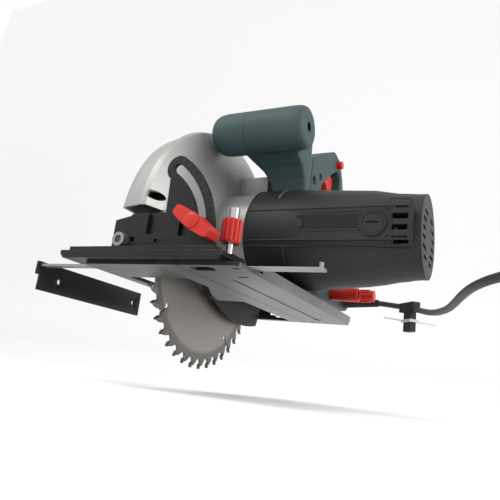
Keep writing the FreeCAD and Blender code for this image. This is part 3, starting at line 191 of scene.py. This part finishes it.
def along(axis, low, high, shade):
    """Fades to shade as the object's axis coordinate goes from low to high, in metres."""
    def step(tree, colour_out):
        reach = add(tree, "ShaderNodeMapRange")
        reach.inputs["From Min"].default_value = low
        reach.inputs["From Max"].default_value = high
        tree.links.new(object_axis(tree, axis), reach.inputs["Value"])
        return darken(tree, colour_out, reach.outputs["Result"], shade)
    return step


def radius_value(tree):
    """Distance from the arbor's axis, in metres."""
    coords = add(tree, "ShaderNodeTexCoord")
    flat = add(tree, "ShaderNodeVectorMath", operation="MULTIPLY")
    flat.inputs[1].default_value = (0, 1, 1)
    shift = add(tree, "ShaderNodeVectorMath", operation="SUBTRACT")
    shift.inputs[1].default_value = (0, ARBOR.y, ARBOR.z)
    size = add(tree, "ShaderNodeVectorMath", operation="LENGTH")
    tree.links.new(coords.outputs["Object"], flat.inputs[0])
    tree.links.new(flat.outputs["Vector"], shift.inputs[0])
    tree.links.new(shift.outputs["Vector"], size.inputs[0])
    return size.outputs["Value"]


def blade_material():
    """Ground steel with round brush marks, a darker band under the teeth and a fine line at its edge."""
    material, tree, shader = new_material("ground_steel")
    radius = radius_value(tree)
    rings = add(tree, "ShaderNodeTexNoise", noise_dimensions="1D")
    rings.inputs["Scale"].default_value = 2600
    rings.inputs["Detail"].default_value = 5
    tree.links.new(radius, rings.inputs["W"])
    fine = ramp(tree, rings.outputs["Fac"], 0.3, 0.7, (0.235, 0.225, 0.215, 1), (0.300, 0.288, 0.276, 1))
    band = ramp(tree, radius, 0.0, 1.0, (1, 1, 1, 1), (1, 1, 1, 1))
    elements = band.color_ramp.elements
    elements[0].color = (1.12, 1.1, 1.08, 1)
    elements[0].position = 0.079
    elements[1].position = 0.0815
    elements[1].color = (0.62, 0.61, 0.6, 1)
    edge = elements.new(0.0797)
    edge.color = (1.4, 1.4, 1.4, 1)
    after = elements.new(0.0803)
    after.color = (0.6, 0.59, 0.58, 1)
    mix = add(tree, "ShaderNodeMix", data_type="RGBA")
    mix.blend_type = "MULTIPLY"
    mix.inputs["Factor"].default_value = 1
    tree.links.new(fine.outputs["Color"], mix.inputs["A"])
    tree.links.new(band.outputs["Color"], mix.inputs["B"])
    tree.links.new(mix.outputs["Result"], shader.inputs["Base Color"])
    shader.inputs["Metallic"].default_value = 0.85
    shader.inputs["Roughness"].default_value = 0.42
    bump = add(tree, "ShaderNodeBump")
    bump.inputs["Strength"].default_value = 0.12
    bump.inputs["Distance"].default_value = 0.0001
    tree.links.new(rings.outputs["Fac"], bump.inputs["Height"])
    tree.links.new(bump.outputs["Normal"], shader.inputs["Normal"])
    return material


GREEN = (0.034, 0.060, 0.062)
DARK = (0.017, 0.017, 0.019)
# The sole is darker on its top and front-facing faces. Painted shade and a painted reflection darken it
# below X 43 mm and towards the front, and two thin dark lines are painted shade in grooves along it.
SOLE_TONES_AND_PAINTED_SHADE = [facing("Z", 0.3, 0.6, 0.10), facing("Y", -0.3, -0.6, 0.15), along("X", 0.0435, 0.0425, 0.55),
              along("Y", -0.06, -0.125, 0.45), seam("X", 0.0615, 0.0011, 0.22),
              seam("X", 0.0425, 0.0007, 0.3)]
M = {
    "cast_silver": surface("cast_metal", (0.33, 0.33, 0.32), 0.46, 0.60, 900, 0.05, 18, 0.06),
    "charcoal_plastic": surface("charcoal_nylon", DARK, 0.55, 0, 2600, 0.05, 20, 0.15),
    "motor_plastic": surface("motor_nylon", DARK, 0.52, 0, 2600, 0.05, 20, 0.15),
    # A lighter grey nylon than the motor's shell, taken by the collar band and the bevel scale marks.
    "motor_edge": surface("lighter_grey_nylon", (0.075, 0.075, 0.078), 0.45, 0, 2600, 0.05, 20, 0.15),
    "green_plastic": surface("green_nylon", GREEN, 0.58, 0, 2600, 0.05, 20, 0.12, steps=[seam("X", 0.074)]),
    "grip_plastic": surface("grip_nylon", GREEN, 0.58, 0, 2600, 0.05, 20, 0.12, steps=[seam("X", 0.056)]),
    "red_plastic": surface("red_moulded", (0.46, 0.018, 0.012), 0.42, 0, 1800, 0.02, 30, 0.08, coat=0.06),
    "black_paint": surface("black_powder_coat", (0.009, 0.009, 0.010), 0.36, 0.1, 1500, 0.06, 25, 0.2),
    "zinc_steel": surface("zinc_plated", (0.30, 0.30, 0.29), 0.38, 0.75, 700, 0.03, 40, 0.10, (0.15, 1, 1)),
    # The sole's grey paint colour also carries the painted shade and painted reflection of the steps above.
    "sole_steel": surface("grey_sole_paint_and_painted_shade", (0.185, 0.182, 0.185), 0.42, 0.35, 600, 0.04, 14, 0.12,
                          (1, 0.08, 1), steps=SOLE_TONES_AND_PAINTED_SHADE),
    "blade_steel": blade_material(),
    "carbide": surface("carbide_grey", (0.10, 0.095, 0.09), 0.45, 0.7, 1500, 0.03, 60, 0.1),
    "guard_dark": surface("dark_guard_paint", (0.016, 0.016, 0.018), 0.40, 0.2, 900, 0.03, 20, 0.2),
    "bright_steel": surface("turned_steel", (0.50, 0.49, 0.48), 0.28, 0.95, 1200, 0.02, 40, 0.06,
                            (1, 0.1, 0.1)),
    "copper": surface("copper_wire", (0.45, 0.16, 0.06), 0.4, 0.8, 900, 0.08, 40, 0.2, (1, 0.2, 0.2)),
    "laminated_steel": surface("laminations", (0.14, 0.14, 0.145), 0.5, 0.6, 1500, 0.1, 40, 0.2,
                               (2, 0.05, 0.05)),
    "black_rubber": surface("black_rubber", (0.012, 0.012, 0.013), 0.62, 0, 2200, 0.06, 40, 0.2),
    "cord_rubber": surface("cord_rubber", (0.030, 0.030, 0.033), 0.52, 0, 2200, 0.04, 60, 0.15),
    "nylon_white": surface("white_nylon", (0.50, 0.50, 0.50), 0.38, 0, 900, 0.02, 40, 0.05),
    "badge": surface("blank_label", (0.006, 0.006, 0.007), 0.30, 0, 1200, 0.01, 40, 0.15),
    # Near-black painted shade for the inside of holes and gaps.
    "dark_gap": surface("dark_gap", (0.003, 0.003, 0.003), 0.8, 0, 1200, 0.02, 40, 0.2, shine=0.1),
}


def paint(obj, key):
    obj.data.materials.clear()
    obj.data.materials.append(M[key])
    return obj


def finish_nodes():
    """Every CAD node gets its material and smooth shading, and all but the crisp ones also get softened
    edges.
    """
    slots = {item["node"]: item["material_slot"] for item in frame["record"]["subparts"]}
    crisp = {"cord_tube", "cord_coil", "drive_gear", "carbide_tips", "blade", "fence_shoe"}
    for name, obj in NODES.items():
        paint(obj, slots[name])
        weld = obj.modifiers.new("weld", "WELD")
        weld.merge_threshold = 0.00001
        if name not in crisp:
            bevel = obj.modifiers.new("edges", "BEVEL")
            bevel.width = EDGE.get(name, EDGE_WIDTH) * MM
            bevel.segments = 2
            bevel.limit_method = "ANGLE"
            bevel.angle_limit = math.radians(35)
            bevel.use_clamp_overlap = True
        smooth(obj)


def smooth(obj):
    """Smooth shading weighted by face area, so that flat faces stay flat."""
    for polygon in obj.data.polygons:
        polygon.use_smooth = True
    normals = obj.modifiers.new("normals", "WEIGHTED_NORMAL")
    normals.keep_sharp = True
    return obj


# Edge softening in millimetres, where it differs from EDGE_WIDTH.
EDGE_WIDTH = 0.35
EDGE = {"front_rail": 0.8, "front_bracket": 0.5, "depth_lever": 0.4, "fence_clamp_knob": 0.5,
        "lock_button": 0.8, "dust_port": 0.5, "base_plate": 0.5, "end_cap": 0.8, "gear_housing": 1.0}


# ---------------------------------------------------------------- shape helpers

def mesh_object(name, vertices, faces, key, body=None, smoothed=True):
    mesh = bpy.data.meshes.new(name)
    mesh.from_pydata([tuple(v) for v in vertices], [], faces)
    mesh.validate()
    mesh.update()
    obj = bpy.data.objects.new(name, mesh)
    bpy.context.scene.collection.objects.link(obj)
    paint(obj, key)
    if smoothed:
        for polygon in mesh.polygons:
            polygon.use_smooth = True
    if body:
        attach(obj, body)
    return obj


def loft(name, rings, key, body=None):
    """A closed skin over rings of points, all with the same count."""
    count = len(rings[0])
    vertices = [point for ring in rings for point in ring]
    faces = []
    for row in range(len(rings) - 1):
        for index in range(count):
            after = (index + 1) % count
            faces.append((row * count + index, row * count + after, (row + 1) * count + after,
                          (row + 1) * count + index))
    faces.append(tuple(range(count - 1, -1, -1)))
    faces.append(tuple(range((len(rings) - 1) * count, len(rings) * count)))
    return mesh_object(name, vertices, faces, key, body)


def lathe(name, profile, origin, axis, key, body=None, segments=48):
    """A solid turned from (distance along the axis, radius) points in metres."""
    frame_axis = Vector(axis).normalized()
    turn = Vector((0, 0, 1)).rotation_difference(frame_axis).to_matrix()
    rings = []
    for along, radius in profile:
        ring = []
        for index in range(segments):
            angle = 2 * math.pi * index / segments
            spoke = Vector((radius * math.cos(angle), radius * math.sin(angle), along))
            ring.append(Vector(origin) + turn @ spoke)
        rings.append(ring)
    return loft(name, rings, key, body)


def block(name, low, high, key):
    """A box between two corners in metres."""
    x, y, z = zip(low, high)
    corners = [(x[i], y[j], z[k]) for i in (0, 1) for j in (0, 1) for k in (0, 1)]
    faces = [(0, 1, 3, 2), (4, 6, 7, 5), (0, 4, 5, 1), (2, 3, 7, 6), (0, 2, 6, 4), (1, 5, 7, 3)]
    return mesh_object(name, corners, faces, key, smoothed=False)


def apply_modifiers(obj):
    graph = bpy.context.evaluated_depsgraph_get()
    mesh = bpy.data.meshes.new_from_object(obj.evaluated_get(graph))
    obj.modifiers.clear()
    obj.data = mesh
    return obj


def carve(obj, cutters):
    """Cuts the cutters out of obj, and removes them."""
    bpy.context.view_layer.update()
    for cutter in cutters:
        step = obj.modifiers.new("carve", "BOOLEAN")
        step.operation = "DIFFERENCE"
        step.solver = "EXACT"
        step.material_mode = "TRANSFER"
        step.object = cutter
    apply_modifiers(obj)
    for cutter in cutters:
        bpy.data.objects.remove(cutter)
    return obj


def melt(name, parts, voxel, rounds, key, body, keep=0.5):
    """Joins closed parts into one skin and rounds the corners between them."""
    import bmesh
    whole = bmesh.new()
    bpy.context.view_layer.update()
    graph = bpy.context.evaluated_depsgraph_get()
    for part in parts:
        mesh = bpy.data.meshes.new_from_object(part.evaluated_get(graph))
        mesh.transform(part.matrix_world)
        whole.from_mesh(mesh)
    data = bpy.data.meshes.new(name)
    whole.to_mesh(data)
    whole.free()
    for part in parts:
        bpy.data.objects.remove(part)
    obj = bpy.data.objects.new(name, data)
    bpy.context.scene.collection.objects.link(obj)
    remesh = obj.modifiers.new("skin", "REMESH")
    remesh.mode = "VOXEL"
    remesh.voxel_size = voxel
    soften = obj.modifiers.new("soften", "SMOOTH")
    soften.factor = 0.5
    soften.iterations = rounds
    thin = obj.modifiers.new("thin", "DECIMATE")
    thin.ratio = keep
    apply_modifiers(obj)
    for polygon in obj.data.polygons:
        polygon.use_smooth = True
    paint(obj, key)
    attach(obj, body)
    return obj


def wire(name, points, radius, key, body, closed=False):
    """A thin round bead along straight runs."""
    curve = bpy.data.curves.new(name, "CURVE")
    curve.dimensions = "3D"
    spline = curve.splines.new("POLY")
    spline.points.add(len(points) - 1)
    for point, place in zip(spline.points, points):
        point.co = (*place, 1)
    spline.use_cyclic_u = closed
    curve.bevel_depth = radius
    curve.bevel_resolution = 2
    obj = bpy.data.objects.new(name, curve)
    bpy.context.scene.collection.objects.link(obj)
    paint(obj, key)
    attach(obj, body)
    return obj


def millimetres(points):
    return [tuple(value * MM for value in point) for point in points]


# ---------------------------------------------------------------- camera and cord

def camera():
    data = bpy.data.cameras.new("camera")
    data.lens = 38.25
    data.sensor_width = 36
    data.clip_start = 0.01
    obj = bpy.data.objects.new("camera", data)
    bpy.context.scene.collection.objects.link(obj)
    ahead = Vector((-0.45301, 0.85817, 0.2415)).normalized()
    over = Vector((0.00267, -0.26959, 0.96297)).normalized()
    side = ahead.cross(over).normalized()
    over = side.cross(ahead)
    turn = Matrix((side, over, -ahead)).transposed()
    obj.matrix_world = Matrix.Translation((0.27182, -0.43489, -0.07209)) @ turn.to_4x4()
    bpy.context.scene.camera = obj


CORD = [(128, 165, 33), (140, 166, 32), (152, 162, 30), (165, 151, 27), (179, 134, 22), (191, 107, 16),
        (202, 76, 11), (212, 42, 7), (221, 10, 4), (229, -22, 3.1), (236, -50, 3.1), (244, -77, 3.1),
        (255, -101, 3.1), (270, -120, 3.1), (290, -132, 3.1), (312, -138, 3.1)]
CORD_WIDTH = 6.0
COIL = (322, -100)
COIL_STEPS = 24
COIL_TURNS = [(39, 3.1), (33, 3.1), (27, 3.1), (30, 8.4), (36, 8.4), (33, 13.7), (39, 13.7)]


def coil_points():
    """Turns of the spare cord, laid in three layers. The last leaves straight along +Y, into the plug."""
    points = []
    start = math.atan2(CORD[-1][1] - COIL[1], CORD[-1][0] - COIL[0])
    last = COIL_STEPS * len(COIL_TURNS) + round(-start / (2 * math.pi) * COIL_STEPS)
    for step in range(1, last + 1):
        turn, part = divmod(step, COIL_STEPS)
        here = COIL_TURNS[min(turn, len(COIL_TURNS) - 1)]
        following = COIL_TURNS[min(turn + 1, len(COIL_TURNS) - 1)]
        share = max(0.0, (part / COIL_STEPS - 0.5) / 0.5)
        radius = here[0] + (following[0] - here[0]) * share
        level = here[1] + (following[1] - here[1]) * share
        angle = start + (0 - start + 2 * math.pi * len(COIL_TURNS)) * step / last
        points.append((COIL[0] + radius * math.cos(angle), COIL[1] + radius * math.sin(angle), level))
    return points


def cord():
    end = [(361, -92, 13.7), (361, -80, 13.7), (361, -66, 13.7)]
    route = millimetres(CORD + coil_points() + end)
    curve = bpy.data.curves.new("mains_cord", "CURVE")
    curve.dimensions = "3D"
    spline = curve.splines.new("NURBS")
    spline.points.add(len(route) - 1)
    for point, place in zip(spline.points, route):
        point.co = (*place, 1)
    spline.order_u = 3
    spline.use_endpoint_u = True
    spline.resolution_u = 6
    curve.bevel_depth = CORD_WIDTH / 2 * MM
    curve.bevel_resolution = 4
    obj = bpy.data.objects.new("mains_cord", curve)
    bpy.context.scene.collection.objects.link(obj)
    paint(obj, "cord_rubber")
    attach(obj, "head")
    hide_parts("cord_tube", "cord_coil")
    return obj


# ---------------------------------------------------------------- grip and handle skins

def between(table, value):
    """Straight-line reading of a (key, value) table."""
    for (low, first), (high, last) in zip(table, table[1:]):
        if value <= high:
            share = max(0.0, (value - low) / (high - low))
            return first + (last - first) * share
    return table[-1][1]


def prism(name, outline, low, high, key):
    """A flat-sided solid across X from (y, z) points, all in millimetres."""
    count = len(outline)
    points = [(low, y, z) for y, z in outline] + [(high, y, z) for y, z in outline]
    faces = [tuple(range(count - 1, -1, -1)), tuple(range(count, 2 * count))]
    faces += [(i, (i + 1) % count, (i + 1) % count + count, i + count) for i in range(count)]
    return mesh_object(name, millimetres(points), faces, key, smoothed=False)


GRIP_Y, GRIP_Z, GRIP_END = -0.048, 0.147, 0.110


def front_grip():
    """One moulded skin over the grip and its neck, with the neck flared to the left."""
    profile = [(19, 0.5), (19.2, 9), (20.6, 13.6), (23.4, 16.8), (28, 18.8), (34, 19.5), (100, 19.5),
               (106, 19), (109, 17.6), (110, 15.2), (110, 0.5)]
    grip = lathe("grip", millimetres(profile), (0, GRIP_Y, GRIP_Z), (1, 0, 0), "grip_plastic", segments=64)
    left = [(98, 65), (104, 64), (112, 62), (120, 58), (128, 52), (135, 44), (139, 36)]
    front = [(98, -14), (107, -14), (114, -16.5), (121, -23), (126, -33), (129, -42)]
    parts = [grip, prism("neck_top", [(-48, 129), (-48, 165), (-36, 162), (-4, 153), (-4, 129)], 66, 97.8,
                         "grip_plastic"),
             prism("neck_back", [(-6, 129), (-6, 153), (24.6, 153), (24.6, 129)], 66, 87.8, "grip_plastic")]
    for step in range(28):
        z = 98 + 1.5 * step
        x = between(left, z)
        parts.append(block("slice", *millimetres([(x, between(front, z), z - 0.1), (97.8, -4, z + 1.6)]),
                           "grip_plastic"))
        parts.append(block("slice_back", *millimetres([(x, -6, z - 0.1), (87.8, 24.6, z + 1.6)]),
                           "grip_plastic"))
    skin = melt("front_grip_skin", parts, 0.0011, 9, "grip_plastic", "head", keep=0.6)
    # The hole's walls take the near-black dark_gap material: painted shade inside the hole.
    profile = [(-0.003, 0.0042), (0.003, 0.0042)]
    hole = lathe("hole", profile, (GRIP_END, GRIP_Y, GRIP_Z), (1, 0, 0), "dark_gap")
    carve(skin, [hole])
    for polygon in skin.data.polygons:
        polygon.use_smooth = True
    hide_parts("front_grip_left", "front_grip_right")


def soften_handle():
    """Both handle shells get moulded edges."""
    for name in ("handle_left_shell", "handle_right_shell"):
        obj = NODES[name]
        obj.modifiers.clear()
        skin = obj.modifiers.new("skin", "REMESH")
        skin.mode = "VOXEL"
        skin.voxel_size = 0.0009
        skin.use_smooth_shade = True
        soft = obj.modifiers.new("soft", "SMOOTH")
        soft.factor = 0.5
        soft.iterations = 8


# ---------------------------------------------------------------- motor details

PANEL_FACE = -42.5
HOUSING = [(55, 42), (58, 44.5), (95, 44.5), (163, 40.3), (181.5, 37), (200, 35.5)]


def round_motor(x, reach, degrees):
    angle = math.radians(degrees)
    return (x, reach * math.cos(angle), MOTOR.z / MM + reach * math.sin(angle))


def hoop(name, x, width, inner, outer, first, last, key, steps=28):
    """An arc of raised band round the motor's axis."""
    rings = []
    for step in range(steps + 1):
        degrees = first + (last - first) * step / steps
        section = [(-width / 2, inner), (-width / 3, outer), (width / 3, outer), (width / 2, inner)]
        rings.append(millimetres([round_motor(x + shift, reach, degrees) for shift, reach in section]))
    return loft(name, rings, key, "head")


def belly():
    """The deeper lower half of the motor's shell, from the step at its left."""
    lift = [(94, -1), (96, 2.4), (100, 3.6), (106, 3.6), (124, 2.4), (143, 1.9), (171, 1.3), (190, 0.6),
            (197, -0.5)]
    rings = []
    for x in (94, 95, 96, 98, 100, 106, 115, 124, 134, 143, 157, 171, 182, 190, 197):
        reach = between(HOUSING, x)
        outer, inner = [], []
        for step in range(41):
            degrees = 204 + 132 * step / 40
            edge = min(1.0, 4.0 * min(step, 40 - step) / 40)
            outer.append(round_motor(x, reach - 0.4 + (between(lift, x) + 0.4) * edge, degrees))
            inner.append(round_motor(x, reach - 2.2, degrees))
        rings.append(millimetres(outer + inner[::-1]))
    loft("motor_belly", rings, "motor_plastic", "head")


def motor_ridges():
    """Beads and bands on the motor's shell: panel edges, collar, ribs and frames."""
    face = PANEL_FACE
    for name, z in (("ridge_top", 74.2), ("ridge_low", 47.0)):
        run = [(58, face + 0.2, z), (181, face + 0.2, z), (199, face + 1.0, z)]
        wire(name, millimetres(run), 0.0008, "motor_plastic", "head")
    under = []
    for x in (58, 80, 95, 120, 143, 163, 181, 197):
        reach = between(HOUSING, x) - 0.1
        under.append((x, -math.sqrt(reach ** 2 - 18.4 ** 2), MOTOR.z / MM - 18.4))
    wire("ridge_under", millimetres(under), 0.0009, "motor_plastic", "head")
    hoop("collar_band", 83, 2.2, 43.8, 45.2, 62, 143, "motor_edge")
    hoop("mouth_band", 58.5, 2.4, 43.8, 45.0, 0, 359.9, "motor_plastic", 60)
    hoop("rib_near", 70, 1.6, 42, 44.9, 205, 250, "motor_plastic")
    hoop("rib_far", 93.5, 2.2, 42, 45.6, 205, 262, "motor_plastic")
    low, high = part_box("badge_plate")
    frame_points = [(low.x - 0.002, low.z - 0.002), (high.x + 0.002, low.z - 0.002),
                    (high.x + 0.002, high.z + 0.002), (low.x - 0.002, high.z + 0.002)]
    wire("badge_frame", [(x, face * MM, z) for x, z in frame_points], 0.0005, "motor_plastic", "head",
         closed=True)
    cap = centre("brush_caps")
    for name, reach, thick in (("brush_ring_inner", 8.8, 0.45), ("brush_ring_outer", 10.8, 0.5)):
        round_bead(name, (cap.x, (face - 0.9) * MM, cap.z), reach * MM, thick * MM, 0, 360)
    round_bead("brush_lobe", (cap.x, face * MM, cap.z), 0.0152, 0.0007, -62, 62)
    vents = [(182, 41.5), (198, 42.5), (198, 79), (182, 80)]
    wire("vent_frame", millimetres([(x, face + 0.1, z) for x, z in vents]), 0.0008, "motor_plastic", "head",
         closed=True)


def round_bead(name, middle, reach, thick, first, last):
    """A thin bead round an axis along Y."""
    points = []
    full = last - first >= 360
    for step in range(49 - int(full)):
        angle = math.radians(first + (last - first) * step / 48)
        points.append((middle[0] + reach * math.cos(angle), middle[1], middle[2] + reach * math.sin(angle)))
    wire(name, points, thick, "motor_plastic", "head", closed=full)


def knob_cap():
    """Closed front of the bevel knob, over the bolt's end."""
    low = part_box("bevel_bolt")[0]
    middle = centre("bevel_bolt")
    front = max(cad_box[0].y + 0.0002, low.y - 0.0012)
    profile = [(0, 0.0062), (0.0012, 0.0060), (0.0022, 0.0050), (0.0027, 0.0034), (0.0028, 0.0004)]
    depth = profile[-1][0]
    origin = (middle.x, front + depth, middle.z)
    lathe("bevel_knob_cap", profile, origin, (0, -1, 0), "red_plastic", "bevel_handle")


PIVOT_X, PIVOT_Z, WALL_Y = 1.5, 21, -130.95


def quadrant_scale():
    """Raised degree marks along the quadrant's outer rim."""
    for step in range(10):
        angle = math.radians(14 + 5 * step)
        near = 75.6 if step % 3 else 74.4
        points = [(PIVOT_X + reach * math.cos(angle), WALL_Y, PIVOT_Z + reach * math.sin(angle))
                  for reach in (near, 78.8)]
        wire("bevel_mark_%d" % step, millimetres(points), 0.0002, "motor_edge", "base")


camera()
finish_nodes()
knob_cap()
quadrant_scale()
front_grip()
soften_handle()
belly()
motor_ridges()
lead = cord()


def spline_length(obj):
    copy = obj.data.copy()
    copy.bevel_depth = 0
    probe = bpy.data.objects.new("probe", copy)
    bpy.context.scene.collection.objects.link(probe)
    bpy.context.view_layer.update()
    mesh = probe.to_mesh()
    points = [vertex.co for vertex in mesh.vertices]
    length = sum((points[edge.vertices[0]] - points[edge.vertices[1]]).length for edge in mesh.edges)
    bpy.data.objects.remove(probe)
    return length


length = spline_length(lead)
print("cord length", round(length, 3))


# ---------------------------------------------------------------- stage

def studio():
    """Pale floor that curves up behind, an even white sky and three soft lamps."""
    floor_z = cad_box[0].z - 0.020
    ring = []
    rows = [(-2.5, floor_z), (1.2, floor_z), (1.9, floor_z + 0.12), (2.4, floor_z + 0.6),
            (2.6, floor_z + 3.5)]
    for y, z in rows:
        ring.append([(-4.5, y, z), (4.5, y, z)])
    vertices = [point for pair in ring for point in pair]
    faces = [(2 * i, 2 * i + 1, 2 * i + 3, 2 * i + 2) for i in range(len(rows) - 1)]
    M["floor_white"], _, shader = new_material("floor_white")
    shader.inputs["Base Color"].default_value = (0.93, 0.93, 0.93, 1)
    shader.inputs["Roughness"].default_value = 0.9
    floor = mesh_object("floor", vertices, faces, "floor_white")
    world = bpy.data.worlds.new("studio")
    world.use_nodes = True
    world.node_tree.nodes["Background"].inputs["Color"].default_value = (1, 1, 1, 1)
    world.node_tree.nodes["Background"].inputs["Strength"].default_value = 1.0
    bpy.context.scene.world = world
    lamp("key", (-0.5, -0.7, 1.1), 0.7, 8)
    lamp("side", (1.1, 0.1, 0.45), 0.5, 6)
    lamp("under", (0.25, -0.5, -0.09), 0.3, 0.4, aim=(0.05, 0, 0.0))
    bpy.context.scene.view_settings.view_transform = "Standard"


def lamp(name, place, size, power, aim=(0.05, 0, 0.06)):
    data = bpy.data.lights.new(name, "AREA")
    data.shape = "DISK"
    data.size = size
    data.energy = power
    obj = bpy.data.objects.new(name, data)
    bpy.context.scene.collection.objects.link(obj)
    obj.location = place
    obj.rotation_euler = (Vector(aim) - Vector(place)).to_track_quat("-Z", "Y").to_euler()


studio()
